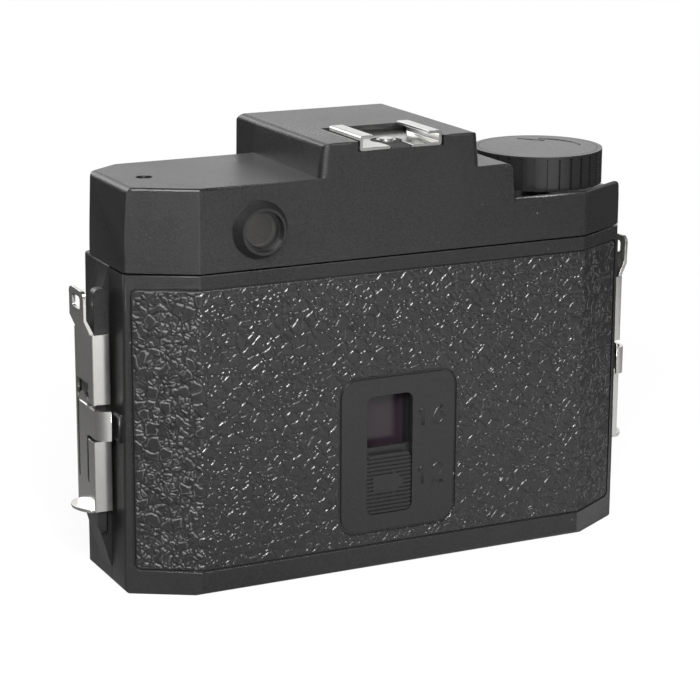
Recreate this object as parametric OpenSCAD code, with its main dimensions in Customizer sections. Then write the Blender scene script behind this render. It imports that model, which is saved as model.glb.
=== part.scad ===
// Medium format film camera with a lift-off back, a winding knob and a frame-counter window.
// Millimetres. +Z up, the base stands on z = 0, the lens faces -Y and the back faces +Y.

/* [Body] */
// Width of the body just under the top cover
body_w = 129.5; // [126:0.5:136]
// Depth of the top cover, front face to rear face
body_d = 37; // [35.5:0.5:40]
// Height of the body from the base to the top cover
body_h = 75.5; // [75:0.5:80]
// How much further out each side is at the base than under the top cover
side_flare = 0.8; // [0.2:0.1:1]
// How far the front casting stands ahead of the top cover
front_step = 1; // [0.5:0.25:2]
// Wall of the large mouldings
wall = 2; // [1.8:0.1:2.2]
// Width of the slanted facet at each rear corner, seen from behind
rear_facet_x = 14.9; // [12:0.1:17]
// Depth of the slanted facet at each rear corner
rear_facet_y = 8.65; // [7:0.05:10]
// Width of the slanted facet at each front corner of the body
front_facet_x = 9; // [6:0.5:11]
// Depth of the slanted facet at each front corner of the body
front_facet_y = 5; // [4:0.5:6]
// Rounding of the lower side corners
base_corner_r = 1.2; // [1:0.1:5]
// Rounding of the rear lower edge
base_rear_r = 1.2; // [1:0.1:2.5]
// Rounding of the front lower edge
base_front_r = 5; // [3:0.5:6]
// Rounding of the upright edges
upright_r = 1.4; // [0.8:0.1:2]
// How far behind the middle of the body the back cover starts
seam_y = 1; // [0.8:0.1:1.6]
// Gap between the front body and the back cover
seam_gap = 0.2; // [0.15:0.05:0.3]
// Gap between the back cover and the top cover
lid_gap = 0.4; // [0.3:0.05:0.6]

/* [Top cover] */
// Height of the left deck above the body
deck_rise = 19.2; // [18.5:0.1:21]
// Height of the knob deck above the body
knob_deck_rise = 9; // [8.5:0.1:10]
// Height of the lip along the rear edge of the knob deck
knob_lip_h = 1.7; // [1:0.1:2]
// Width of the lip along the rear edge of the knob deck
knob_lip_w = 1.3; // [1:0.1:1.4]
// Height of the small step between hump and knob deck above the body
step_rise = 18.9; // [17:0.1:20]
// Height of the hump above the body
hump_rise = 26.95; // [26:0.05:29]
// Left side of the hump, from the middle
hump_left = 20.4; // [19:0.1:22]
// Right side of the hump, from the middle
hump_right = 20.85; // [19:0.05:22]
// Gap between the knob and the end of the small step
step_gap = 1.15; // [0.9:0.05:1.5]
// How far the hump hangs over ahead of the top cover
hump_overhang = 11.7; // [8:0.1:13]
// Inward lean of each end of the top cover over its height
cover_draft = 1; // [0.5:0.1:1.5]
// Inward lean of each side of the hump over its height
hump_draft = 0.8; // [0.2:0.1:1]
// Rounding of the rear upright edges of the hump
hump_corner_r = 1.8; // [1:0.1:2]
// Rounding of the top edges of the ends and of the hump
cover_edge_r = 1.5; // [1:0.1:2]
// Depth of the facet at each front corner of the top cover
cover_facet_y = 6.7; // [5:0.1:8]
// Place of the small screw hole on the left deck, in from the side of the body
deck_screw_in = 9.25; // [8.75:0.25:10.5]
// Radius of the small screw hole on the left deck
deck_hole_r = 1.9; // [1.6:0.1:2.2]

/* [Winding] */
// Place of the winding knob, in from the side of the body
knob_in = 17.75; // [17.55:0.05:18.55]
// Radius of the winding knob
knob_r = 15.7; // [14:0.1:16]
// Height of the winding knob
knob_h = 8.3; // [7.5:0.1:9]
// Gap between the knob and its deck
knob_gap = 1.5; // [1.2:0.1:1.8]
// Number of grooves round the knob
knob_grooves = 32; // [24:1:40]
// Width of each groove in the knob
knob_groove_w = 0.7; // [0.5:0.1:1]
// Depth of each groove in the knob
knob_groove_depth = 0.6; // [0.4:0.1:1]
// Radius of the winding shaft
shaft_r = 3.9; // [3.5:0.1:4.5]
// Clearance of a turning shaft in its hole
shaft_play = 0.08; // [0.05:0.01:0.1]
// Height of the body left over above and below the film spool
spool_room = 9.5; // [9:0.25:10]
// Radius of the flanges of the film spool
spool_flange_r = 12.6; // [12:0.1:12.8]
// Radius of the core of the film spool
spool_core_r = 5.9; // [5:0.1:6.5]

/* [Lens] */
// How far the lens axis lies above the middle of the body
lens_raise = 0.25; // [0:0.05:1]
// Radius of the shutter housing on the front
housing_r = 31; // [30:0.5:32]
// Length of the shutter housing
housing_len = 13.5; // [13:0.5:15]
// Wall of the shutter housing and of the lens barrel
barrel_wall = 2.2; // [1.8:0.1:2.5]
// Radius of the fixed lens barrel
barrel_r = 25; // [24.5:0.25:26]
// Length of the fixed lens barrel ahead of its flange
barrel_len = 11.5; // [10:0.5:13]
// Clearance round the sliding lens carriage
carriage_play = 0.08; // [0.05:0.01:0.1]
// Radius of the ribbed focus ring
focus_r = 29; // [28.5:0.25:31]
// Number of ribs round the focus ring
focus_ribs = 48; // [30:1:60]
// Radius of the filter seat in the front rim
filter_r = 23; // [22.5:0.25:23.5]
// How far the front rim stands from the body front
lens_reach = 39; // [38.5:0.5:42]
// Radius of the glass
glass_r = 11; // [9:0.5:12]
// How far the lens moves forward when focused near
focus_travel = 2.8; // [2:0.2:3]
// Radius of the large stop
large_stop_r = 4.5; // [4:0.1:4.8]
// Radius of the small stop
small_stop_r = 3; // [2.5:0.1:3.5]

/* [Film gate] */
// Height of the body left over above and below the square film gate
gate_room = 19.5; // [19.5:0.5:21]
// How far each side of the removable mask covers the gate
mask_rim = 7; // [5.5:0.25:7.5]
// Wall of the light chamber
chamber_wall = 1.8; // [1.5:0.1:2]
// How far ahead of the rear face the film runs
film_in = 7.7; // [7.5:0.1:8]

/* [Window] */
// Width of the window plate on the back
plate_w = 29.6; // [28:0.2:31]
// Height of the window plate on the back
plate_h = 37; // [36.5:0.25:39]
// Height of the lower edge of the window plate above the base
plate_z = 9.4; // [8.5:0.1:11]
// Corner rounding of the window plate
plate_r = 4; // [3:0.5:5]
// Thickness of the window plate
plate_t = 1.6; // [1.4:0.1:1.7]
// Width of the slot in the window plate
slot_w = 11.95; // [11:0.05:12.4]
// Height of the slot in the window plate
slot_h = 29; // [28:0.25:30]
// Height of the lower end of the slot above the base
slot_z = 13.2; // [12.8:0.1:13.8]
// Middle of the slot, from the middle of the plate
slot_x = 2.2; // [1.8:0.1:2.4]
// Corner rounding of the slot
slot_r = 1.8; // [1.2:0.1:2.2]
// Height of the slider that covers half of the slot
slider_h = 14.5; // [13.5:0.25:14.6]
// Number of ribs on the slider
slider_ribs = 14; // [10:1:18]
// How deep the red window lies behind the plate
red_depth = 6; // [5.6:0.1:6.2]

/* [Grain panels] */
// Smooth border under the grain panel of the back
grain_low = 5.7; // [5:0.1:7]
// Smooth border above the grain panel of the back
grain_high = 3.7; // [3:0.1:5]
// Smooth border at each side of the grain panel, from the body side
grain_side = 1.2; // [1:0.1:3]
// Depth of the recess that holds a grain panel
grain_recess = 0.4; // [0.3:0.05:0.5]
// How far a grain panel stands proud
grain_proud = 0.1; // [0:0.05:0.2]

/* [Side clips] */
// Thickness of the clip sheet
sheet = 0.8; // [0.7:0.05:0.9]
// Depth of each side rail, front to rear
rail_d = 9.6; // [8.5:0.1:10.2]
// How far each side rail stands out from the body at the top
rail_out = 4.55; // [4.4:0.05:4.9]
// Height of the lower end of the clip above the base
clip_z = 18.5; // [17.5:0.1:19]
// Length of the clip channel
clip_len = 41.8; // [41:0.1:43]
// Clearance between clip and rail
clip_play = 0.2; // [0.15:0.05:0.3]
// Height of the spring band in the middle of the clip
band_h = 6.8; // [6:0.1:7.5]
// Height of the strap lug above the channel
lug_h = 10; // [9:0.25:11]
// How far the strap lug is set outward
lug_offset = 1.6; // [1.2:0.1:2]
// Width of the strap hole
lug_hole_w = 5; // [4.2:0.1:6]
// Height of the strap hole
lug_hole_h = 2.9; // [2:0.1:3.2]

/* [Accessory shoe] */
// Width over the shoe
shoe_w = 20.9; // [20:0.1:22]
// Length of the lips of the shoe
shoe_len = 16; // [15:0.25:17]
// Thickness of the shoe sheet
shoe_sheet = 0.7; // [0.6:0.05:1]
// Free height under the lips of the shoe
shoe_gap = 2.1; // [1.9:0.1:2.3]
// Width of each lip of the shoe
shoe_lip = 3.4; // [3:0.1:4]
// Depth of the recess that holds the shoe
shoe_recess = 2.3; // [2:0.1:2.8]
// Radius of the middle contact
contact_r = 2.3; // [1.5:0.1:2.6]

/* [Finder] */
// Place of the finder, in from the side of the body
finder_in = 29.45; // [28.5:0.05:30.5]
// Height of the finder axis above the body
finder_rise = 8.85; // [8.4:0.05:9.2]
// Radius of the eyepiece rim
eyepiece_r = 6.6; // [6.4:0.1:7]
// How far the eyepiece stands proud of the rear face
eyepiece_proud = 2.8; // [2:0.1:3.4]
// Narrowing of the eyepiece towards its rim
eyepiece_taper = 1.3; // [1:0.1:1.5]
// Width of the front finder window
finder_w = 14; // [12:0.5:15]
// Height of the front finder window
finder_h = 11; // [10:0.5:11.5]

/* [Hidden] */
$fn = 64;
// Small overlap used only to make cuts clean
cut = 1;

// Main planes of the body
half_w = body_w / 2;
lens_z = body_h / 2 + lens_raise;
knob_x = half_w - knob_in;
finder_x = half_w - finder_in;
deck_screw_x = half_w - deck_screw_in;
step_right = knob_x - knob_r - step_gap;
base_half_w = half_w + side_flare;
rear_y = body_d / 2;
cover_front_y = -body_d / 2;
front_y = cover_front_y - front_step;
back_start_y = seam_y + seam_gap;
back_h = body_h - lid_gap;
roof_z = body_h - wall;
inner_rear_y = rear_y - wall;
inner_front_y = front_y + wall;

// Tripod socket and screws
socket_y = -8;
socket_r = 5.5;
socket_h = 6;
thread_r = 3.2;
socket_boss_r = 7.5;
socket_boss_h = 7.2;
screw_shank_r = 1;
pillar_top = body_h + deck_rise - 5.4;
front_hole_r = 20;
screw_circle_r = housing_r - 4;
screw_boss_r = 2.1;
screw_boss_h = 6;

// Levels of the top cover
deck_z = body_h + deck_rise;
knob_deck_z = body_h + knob_deck_rise;
step_z = body_h + step_rise;
hump_z = body_h + hump_rise;
hump_front_y = cover_front_y - hump_overhang;
shoe_floor_z = hump_z - shoe_recess;
finder_z = body_h + finder_rise;

// Winding train
spool_len = body_h - spool_room;
knob_z = knob_deck_z + knob_gap;
knob_top_z = knob_z + knob_h;
cap_t = 1;
cap_r = knob_r - 1.3;
spool_z = wall + 1;
spool_top_z = spool_z + spool_len;
spool_flange_t = 1.3;
pivot_r = 1.8;
pivot_h = 3;
key_w = 6;
key_t = 1.5;
key_h = 2.2;
key_play = 0.4;
ratchet_r = 7;
ratchet_z = body_h + 1.5;
ratchet_t = 2;
ratchet_teeth = 14;

// Lens stack, measured forward from the body front
plate_back = 1.5;
plate_thick = 1.2;
blade_gap = 0.4;
blade_t = 0.6;
lever_t = 1.6;
stop_t = 0.8;
plate_face = plate_back + plate_thick;
blade_at = plate_face + blade_gap;
lever_at = blade_at + blade_t + blade_gap;
stop_at = lever_at + lever_t + blade_gap + 1.2;
pin_play = 0.08;
lever_pin = [-20, 8];
lever_pin_r = 1.5;
blade_pin = [17, 10];
blade_pin_r = 1.2;
stop_pin = [0, 16];
stop_pin_r = 1.5;
stop_arm = 16;
stop_turn = 28;
light_hole_r = 5;
blade_r = 6.6;
barrel_flange_t = 1.5;
barrel_flange_r = barrel_r + 3.2;
barrel_bore_r = barrel_r - barrel_wall;
barrel_at = housing_len;
carriage_r = barrel_bore_r - carriage_play;
carriage_wall = 1.8;
carriage_from = barrel_at + 0.7 + focus_travel;
rim_from = lens_reach - 7;
ring_gap = 0.3;
focus_from = barrel_at + barrel_flange_t + 1.2;
focus_to = rim_from - 0.3;
focus_bore_r = barrel_r + ring_gap;
rim_r = focus_r - 1.5;
filter_depth = 4;
glass_at = lens_reach - 13.5;
glass_t = 4;
switch_at = 8.6;
switch_neck = 2;
switch_travel = 5;

// Film gate
gate = body_h - gate_room;
film_y = rear_y - film_in;
chamber_half = gate / 2 + chamber_wall + 0.2;
chamber_flange = 4;
gate_plate_t = 1.6;
gate_y = film_y - 0.2;
mask_t = 1.5;
mask_play = 0.3;

// Window on the back
plate_half = plate_w / 2;
plate_gap = 0.3;
plate_top_z = plate_z + plate_h;
slot_top_z = slot_z + slot_h;
slot_left = slot_x + slot_w / 2;
slot_right = slot_x - slot_w / 2;
slider_play = 0.15;
slider_flange = 1.5;
slider_flange_t = 1;
tunnel_wall = 1.2;
tunnel_out = 2.4;
red_y = rear_y - red_depth;
red_t = 0.8;

// Grain panels
grain_base_z = grain_low;
grain_top_z = body_h - grain_high;
grain_half = half_w - grain_side;
grain_r = 1.6;

// Side clips
rail_x = half_w + rail_out;
clip_out_x = rail_x + clip_play + sheet;
rail_rear_y = seam_y + 1.9;
rail_front_y = rail_rear_y - rail_d;
clip_rear_y = rail_rear_y + clip_play + sheet;
clip_front_y = rail_front_y - clip_play - sheet;
lip_in_x = base_half_w + 0.3;
lip_out_x = lip_in_x + sheet;
lip_w = 1.2;
clip_top_z = clip_z + clip_len;
clip_travel = 12;
band_z = clip_z + 17.7;
nib_out_x = half_w + 1.25;
nib_y = back_start_y + 3.2;
nib_w = 4.3;

// Shoe
shoe_base_z = shoe_floor_z + shoe_sheet;
shoe_lip_z = shoe_base_z + shoe_gap;
shoe_end_y = rear_y - 0.1;
shoe_front_y = shoe_end_y - shoe_len - 2.5;
contact_y = rear_y - 7.7;
well_r = contact_r + 1.2;
notch_half = 2.7;
spigot_r = eyepiece_r - 1.4;
eye_lens_r = spigot_r - 1.05;
eye_lens_t = 1.2;
eye_lens_top = 1;

// Colours of the finishes
black = [0.13, 0.13, 0.135];
grain_black = [0.1, 0.1, 0.105];
dark_plastic = [0.07, 0.07, 0.075];
nickel = [0.72, 0.72, 0.7];
bright_metal = [0.82, 0.82, 0.8];
clear_glass = [0.55, 0.62, 0.66, 0.5];
red_glass = [0.25, 0.05, 0.08, 0.8];
foam_grey = [0.2, 0.2, 0.2];
brass = [0.72, 0.6, 0.35];

// Points along a circular arc, for outlines
function arc(cx, cy, r, a0, a1, n = 6) =
    [for (i = [0:n]) [cx + r * cos(a0 + (a1 - a0) * i / n), cy + r * sin(a0 + (a1 - a0) * i / n)]];

// Rectangle with rounded corners, given by its two corners
module rounded_rect(x0, y0, x1, y1, r) {
    polygon(concat(arc(x1 - r, y1 - r, r, 0, 90), arc(x0 + r, y1 - r, r, 90, 180),
                   arc(x0 + r, y0 + r, r, 180, 270), arc(x1 - r, y0 + r, r, 270, 360)));
}

// Carries an outline drawn in X and Z along Y
module along_y(y0, y1) {
    translate([0, y1, 0]) rotate([90, 0, 0]) linear_extrude(y1 - y0) children();
}

// Carries an outline drawn in Y and Z along X
module along_x(x0, x1) {
    translate([x0, 0, 0]) rotate([90, 0, 90]) linear_extrude(x1 - x0) children();
}

// Puts a piece on the lens axis, a distance forward of the body front
module on_lens_axis(forward) {
    translate([0, front_y - forward, lens_z]) rotate([90, 0, 0]) children();
}

// Ring on the Z axis
module tube(r_out, r_in, h) {
    difference() {
        cylinder(r = r_out, h = h);
        translate([0, 0, -cut]) cylinder(r = r_in, h = h + 2 * cut);
    }
}

// Body seen from above, with its facets
module body_plan(inset) {
    rear_side_y = rear_y - rear_facet_y - side_flare * rear_facet_y / rear_facet_x;
    front_side_y = front_y + front_facet_y;
    offset(delta = -inset)
    offset(r = upright_r) offset(delta = -upright_r)
    polygon([[-base_half_w, front_side_y], [-base_half_w + front_facet_x, front_y],
             [base_half_w - front_facet_x, front_y], [base_half_w, front_side_y],
             [base_half_w, rear_side_y], [half_w - rear_facet_x, rear_y],
             [-half_w + rear_facet_x, rear_y], [-base_half_w, rear_side_y]]);
}

// Body seen from the front, wider at the base, with rounded lower corners
module body_face(inset, top) {
    r = base_corner_r;
    offset(delta = -inset)
    polygon(concat(arc(-base_half_w + r, r, r, 270, 180), [[-half_w, top]],
                   [[half_w, top]], arc(base_half_w - r, r, r, 360, 270)));
}

// Body seen from the side, with rounded lower edges
module body_side(inset, top) {
    offset(delta = -inset)
    polygon(concat(arc(front_y + base_front_r, base_front_r, base_front_r, 270, 180),
                   [[front_y, top]], [[rear_y, top]],
                   arc(rear_y - base_rear_r, base_rear_r, base_rear_r, 360, 270)));
}

// Solid block with the outside of the body, or of its inside when inset by the wall
module body_form(inset, top) {
    reach = base_half_w + 5;
    intersection() {
        linear_extrude(top) body_plan(inset);
        along_y(-body_d, body_d) body_face(inset, top);
        along_x(-reach, reach) body_side(inset, top);
    }
}

// Half space ahead of a plane
module ahead_of(y) {
    translate([-body_w, y - 2 * body_d, -cut]) cube([2 * body_w, 2 * body_d, 3 * body_h]);
}

// Half space behind a plane
module behind(y) {
    translate([-body_w, y, -cut]) cube([2 * body_w, 2 * body_d, 3 * body_h]);
}

// One side rail, on the +X side, with sloping ends
module side_rail() {
    head_from = lip_out_x + clip_play;
    web_from = half_w - wall / 2;
    web_inset = lip_w + clip_play;
    slope_low = 3.6;
    slope_high = body_h - 0.6;
    straight_low = 16.9;
    straight_high = body_h - 13.3;
    rear_low = 13;
    rear_high = body_h - 4.8;
    over_back = base_half_w + 0.3;
    intersection() {
        union() {
            // Head that the clip runs on, and the web that joins it to the body
            translate([head_from, rail_front_y, 0]) cube([rail_x - head_from, rail_d, body_h]);
            translate([web_from, rail_front_y + web_inset, 0])
                cube([head_from - web_from, seam_y - rail_front_y - web_inset, body_h]);
            // Both ends reach the body, and lie over the side of the back cover
            for (z = [0, clip_top_z + 0.3]) {
                end_h = z > 0 ? body_h - z : clip_z - clip_travel - 0.3;
                translate([web_from, rail_front_y, z])
                    cube([head_from - web_from, seam_y - rail_front_y, end_h]);
                translate([over_back, rail_front_y, z]) cube([head_from - over_back, rail_d, end_h]);
            }
        }
        union() {
            along_y(rail_front_y, seam_y)
                polygon([[half_w - wall, slope_low], [base_half_w, slope_low], [rail_x, straight_low],
                         [rail_x, straight_high], [half_w, slope_high], [half_w - wall, slope_high]]);
            // Rear part with rounded ends
            along_y(seam_y - 0.5, rail_rear_y)
                rounded_rect(over_back, rear_low, rail_x, rear_high, 1.5);
        }
    }
}

module front_body() {
    pillar_r = 3;
    color(black)
    difference() {
        union() {
            difference() {
                intersection() {
                    body_form(0, body_h);
                    ahead_of(seam_y);
                }
                body_form(wall, body_h);
            }
            side_rail();
            mirror([1, 0, 0]) side_rail();
            // Boss round the tripod socket
            translate([0, socket_y, wall / 2]) cylinder(r = socket_boss_r, h = socket_boss_h - wall / 2);
            // Pillar that takes the deck screw
            translate([deck_screw_x, 0, body_h - cut]) intersection() {
                cylinder(r = pillar_r, h = pillar_top - body_h + cut);
                translate([-pillar_r, -2 * pillar_r, 0])
                    cube([2 * pillar_r, 2 * pillar_r + seam_y, deck_z]);
            }
        }
        // Light hole in the front wall
        on_lens_axis(-wall - cut) cylinder(r = front_hole_r, h = wall + 2 * cut);
        // Hole for the winding shaft
        translate([-knob_x, 0, roof_z - cut]) cylinder(r = shaft_r + shaft_play, h = wall + 2 * cut);
        // Seat of the tripod socket
        translate([0, socket_y, -cut]) cylinder(r = socket_r + 0.05, h = socket_h + cut);
        // Pilot hole of the deck screw
        translate([deck_screw_x, 0, pillar_top - 6]) cylinder(r = screw_shank_r + 0.05, h = 6 + cut);
        // Recesses of the front grain panels
        for (side = [-1, 1]) front_grain_space(side, grain_recess, 0.15);
        // Holes of the housing screws
        for (a = [45:90:315]) on_lens_axis(-wall - cut) rotate([0, 0, a])
            translate([screw_circle_r, 0, 0]) cylinder(r = screw_shank_r + 0.1, h = wall + 2 * cut);
    }
}

// Space of one front grain panel, measured in from the front face
module front_grain_space(side, depth, play) {
    panel_in = housing_r + 1.5;
    panel_out = base_half_w - front_facet_x - 1.2;
    x0 = side > 0 ? panel_in : -panel_out;
    along_y(front_y - cut, front_y + depth)
        rounded_rect(x0 - play, grain_base_z + 1 - play, x0 + panel_out - panel_in + play,
                     grain_top_z + play, grain_r);
}

module front_grain_panels() {
    color(grain_black)
    for (side = [-1, 1]) intersection() {
        front_grain_space(side, grain_recess, 0);
        behind(front_y - grain_proud);
    }
}

// Outline of the top cover seen from the front, with its decks and the hump
module cover_face(inset) {
    low = body_h - 10;
    lean = cover_draft / deck_rise;
    offset(delta = -inset)
    offset(r = cover_edge_r) offset(delta = -cover_edge_r)
    polygon([[half_w + 10 * lean, low], [half_w - cover_draft, deck_z],
             [hump_left, deck_z], [hump_left - hump_draft, hump_z],
             [-hump_right + hump_draft, hump_z], [-hump_right, step_z],
             [-step_right + hump_draft, step_z], [-step_right, knob_deck_z],
             [-half_w + knob_deck_rise * lean, knob_deck_z], [-half_w - 10 * lean, low]]);
}

// Top cover seen from above
module cover_plan(inset) {
    offset(delta = -inset)
    offset(r = upright_r) offset(delta = -upright_r)
    polygon([[-half_w, cover_front_y + cover_facet_y], [-half_w + front_facet_x, cover_front_y],
             [half_w - front_facet_x, cover_front_y], [half_w, cover_front_y + cover_facet_y],
             [half_w, rear_y - rear_facet_y], [half_w - rear_facet_x, rear_y],
             [-half_w + rear_facet_x, rear_y], [-half_w, rear_y - rear_facet_y]]);
}

// Lip along the rear edge and the rear facet of the knob deck
module knob_lip() {
    lip_z = knob_deck_z + knob_lip_h;
    side_x = half_w - (lip_z - body_h) * cover_draft / deck_rise;
    intersection() {
        along_y(rear_y - rear_facet_y, rear_y)
            offset(r = cover_edge_r) offset(delta = -cover_edge_r)
            polygon([[-step_right + 2 * cover_edge_r, body_h + wall],
                     [-step_right + 2 * cover_edge_r, lip_z], [-side_x, lip_z],
                     [-side_x - 0.2, body_h + wall]]);
        translate([0, 0, knob_deck_z - wall / 2]) linear_extrude(deck_rise) difference() {
            cover_plan(0);
            cover_plan(knob_lip_w);
        }
        translate([-body_w - step_right, -body_d, 0]) cube([body_w, 2 * body_d, 2 * body_h]);
    }
}

// Cutter that rounds one rear upright edge of the hump, parallel to its leaning side
module hump_corner(way, side_x, foot_z) {
    r = hump_corner_r;
    reach = hump_z - foot_z + 2 * cut;
    lean = atan(hump_draft / (hump_z - foot_z));
    intersection() {
        translate([way * side_x, rear_y, foot_z]) rotate([0, -way * lean, 0])
            translate([-way * r, -r, -cut]) difference() {
                translate([way > 0 ? 0 : -r - cut, 0, 0]) cube([r + cut, r + cut, reach]);
                translate([0, 0, -cut]) cylinder(r = r, h = reach + 2 * cut);
            }
        translate([-body_w, 0, foot_z]) cube([2 * body_w, body_d, body_h]);
    }
}

// Hump seen from the front
module hump_face(inset, top) {
    offset(delta = -inset)
    offset(r = cover_edge_r) offset(delta = -cover_edge_r)
    polygon([[hump_left + 0.2, body_h - 5], [hump_left - hump_draft, top],
             [-hump_right + hump_draft, top], [-hump_right - 0.2, body_h - 5]]);
}

// Part of the hump that hangs over ahead of the top cover
module hump_nose(inset) {
    nose_low = body_h + 3;
    nose_in = cover_front_y + wall;
    intersection() {
        along_y(hump_front_y - cut, nose_in) hump_face(inset, hump_z);
        along_x(-body_w, body_w) offset(delta = -inset)
            polygon([[nose_in + 3 * wall, nose_low], [hump_front_y + 0.8, nose_low + 3],
                     [hump_front_y, hump_z - 1.5], [hump_front_y + 1.5, hump_z],
                     [nose_in + 3 * wall, hump_z]]);
    }
}

module top_cover() {
    floor_t = 1.2;
    recess_half = shoe_w / 2 + 0.5;
    recess_front_y = shoe_front_y - 1.2;
    cavity_top = shoe_floor_z - wall;
    boss_r = 3.6;
    color(black)
    difference() {
        union() {
            difference() {
                union() {
                    intersection() {
                        along_y(cover_front_y, rear_y) cover_face(0);
                        translate([0, 0, body_h]) linear_extrude(hump_z) cover_plan(0);
                    }
                    hump_nose(0);
                }
                // Hollow of the decks and of the hump
                intersection() {
                    along_y(cover_front_y, rear_y) cover_face(wall);
                    translate([0, 0, body_h - cut]) linear_extrude(cavity_top - body_h + cut)
                        cover_plan(wall);
                }
                intersection() {
                    hump_nose(wall);
                    translate([-body_w, -body_d, 0]) cube([2 * body_w, body_d, cavity_top]);
                }
            }
            // Floor over the back cover
            intersection() {
                translate([0, 0, body_h]) linear_extrude(floor_t) cover_plan(wall / 2);
                behind(seam_y + 0.3);
            }
            // Boss under the deck screw
            translate([deck_screw_x, 0, pillar_top + 0.1])
                cylinder(r = boss_r, h = deck_z - wall / 2 - pillar_top);
            knob_lip();
        }
        // Rounded rear upright edges of the hump
        hump_corner(1, hump_left, deck_z);
        hump_corner(-1, hump_right, step_z);
        // Screw hole with its seat
        translate([deck_screw_x, 0, pillar_top + 1.4]) cylinder(r = deck_hole_r, h = deck_rise);
        translate([deck_screw_x, 0, body_h + 3]) cylinder(r = screw_shank_r + 0.15, h = deck_rise - 3);
        // Hole for the winding shaft
        translate([-knob_x, 0, body_h]) cylinder(r = shaft_r + shaft_play, h = deck_rise);
        // Seat of the eyepiece
        translate([finder_x, rear_y - wall - cut, finder_z]) rotate([-90, 0, 0])
            cylinder(r = spigot_r + 0.05, h = wall + 2 * cut);
        // Front finder window
        along_y(cover_front_y - cut, cover_front_y + wall + cut)
            rounded_rect(finder_x - finder_w / 2, finder_z - finder_h / 2,
                         finder_x + finder_w / 2, finder_z + finder_h / 2, 1);
        // Recess of the shoe, open to the rear
        translate([-recess_half, recess_front_y, shoe_floor_z])
            cube([2 * recess_half, body_d, hump_rise]);
        // Well under the contact
        translate([0, contact_y, shoe_floor_z - wall - cut]) cylinder(r = well_r, h = wall + 2 * cut);
    }
}

module film_chamber() {
    back = gate_y;
    color(dark_plastic)
    difference() {
        union() {
            along_y(inner_front_y, back)
                square_frame_outline(chamber_half, lens_z);
            // Flange that the film runs over
            along_y(back - gate_plate_t, back)
                rounded_rect(-chamber_half - chamber_flange, wall + 1.2,
                             chamber_half + chamber_flange, roof_z - 1.2, 2);
        }
        // Light space, wider inside than the gate
        along_y(inner_front_y - cut, back - gate_plate_t)
            square_frame_outline(chamber_half - chamber_wall, lens_z);
        along_y(back - gate_plate_t - cut, back + cut)
            square_frame_outline(gate / 2, lens_z);
    }
}

// Square outline centred on the lens axis, drawn in X and Z
module square_frame_outline(half, middle_z) {
    translate([0, middle_z]) square([2 * half, 2 * half], center = true);
}

module film_mask() {
    outer = chamber_half - chamber_wall - mask_play;
    y1 = gate_y - gate_plate_t;
    color(dark_plastic)
    difference() {
        along_y(y1 - mask_t, y1) square_frame_outline(outer, lens_z);
        along_y(y1 - mask_t - cut, y1 + cut) translate([0, lens_z])
            square([gate - 2 * mask_rim, gate - 1], center = true);
        // Finger notch at each side
        for (side = [-1, 1]) translate([side * outer, y1 + cut, lens_z]) rotate([90, 0, 0])
            cylinder(r = 4, h = mask_t + 2 * cut);
    }
}

module tripod_socket() {
    color(nickel)
    translate([0, socket_y, 0]) tube(socket_r, thread_r, socket_h);
}

module spool_pivots() {
    color(nickel) {
        for (side = [-1, 1]) translate([side * knob_x, 0, wall]) intersection() {
            cylinder(r = pivot_r, h = pivot_h);
            translate([-pivot_r, -pivot_r, 0]) cube([2 * pivot_r, pivot_r + seam_y, pivot_h]);
        }
        // Upper pivot of the feed spool
        translate([knob_x, 0, roof_z - pivot_h]) intersection() {
            cylinder(r = pivot_r, h = pivot_h);
            translate([-pivot_r, -pivot_r, 0]) cube([2 * pivot_r, pivot_r + seam_y, pivot_h]);
        }
    }
}

module deck_screw() {
    head_r = deck_hole_r - 0.15;
    head_h = 1.3;
    seat_z = pillar_top + 1.4;
    color(nickel)
    difference() {
        union() {
            translate([deck_screw_x, 0, seat_z]) cylinder(r = head_r, h = head_h);
            translate([deck_screw_x, 0, pillar_top - 5]) cylinder(r = screw_shank_r, h = 6.5);
        }
        for (a = [0, 90]) translate([deck_screw_x, 0, seat_z + head_h]) rotate([0, 0, a])
            cube([2 * head_r * 0.7, 0.4, 1.2], center = true);
    }
}

// Shoe seen from behind: a base with two upright sides and turned-in lips
module accessory_shoe() {
    half = shoe_w / 2;
    bend = 0.7;
    color(bright_metal)
    difference() {
        union() {
            difference() {
                along_y(shoe_end_y - shoe_len, shoe_end_y)
                    rounded_rect(-half, shoe_floor_z, half, shoe_lip_z + shoe_sheet, bend);
                along_y(shoe_end_y - shoe_len - cut, shoe_end_y + cut)
                    rounded_rect(-half + shoe_sheet, shoe_base_z, half - shoe_sheet, shoe_lip_z, 0.3);
                translate([-half + shoe_lip, shoe_end_y - shoe_len - cut, shoe_lip_z - cut])
                    cube([shoe_w - 2 * shoe_lip, shoe_len + 2 * cut, shoe_gap + cut]);
            }
            // Base ahead of the lips
            translate([-half + 1.2, shoe_front_y, shoe_floor_z])
                cube([shoe_w - 2.4, shoe_end_y - shoe_front_y, shoe_sheet]);
        }
        // Slot for the contact block, open to the rear
        translate([0, contact_y, shoe_floor_z - cut]) cylinder(r = well_r + 0.2, h = 2 * cut + shoe_sheet);
        translate([-notch_half, contact_y, shoe_floor_z - cut])
            cube([2 * notch_half, shoe_len, 2 * cut + shoe_sheet]);
    }
}

module shoe_insulator() {
    block_r = well_r - 0.1;
    tail = notch_half - 0.2;
    color(dark_plastic)
    difference() {
        union() {
            translate([0, contact_y, shoe_floor_z - wall]) cylinder(r = block_r, h = wall + 0.6);
            translate([-tail, contact_y, shoe_floor_z])
                cube([2 * tail, shoe_end_y - contact_y - 0.3, 0.5]);
        }
        translate([0, contact_y, shoe_floor_z - wall - cut])
            cylinder(r = contact_r + 0.05, h = wall + 4 * cut);
    }
}

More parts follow.
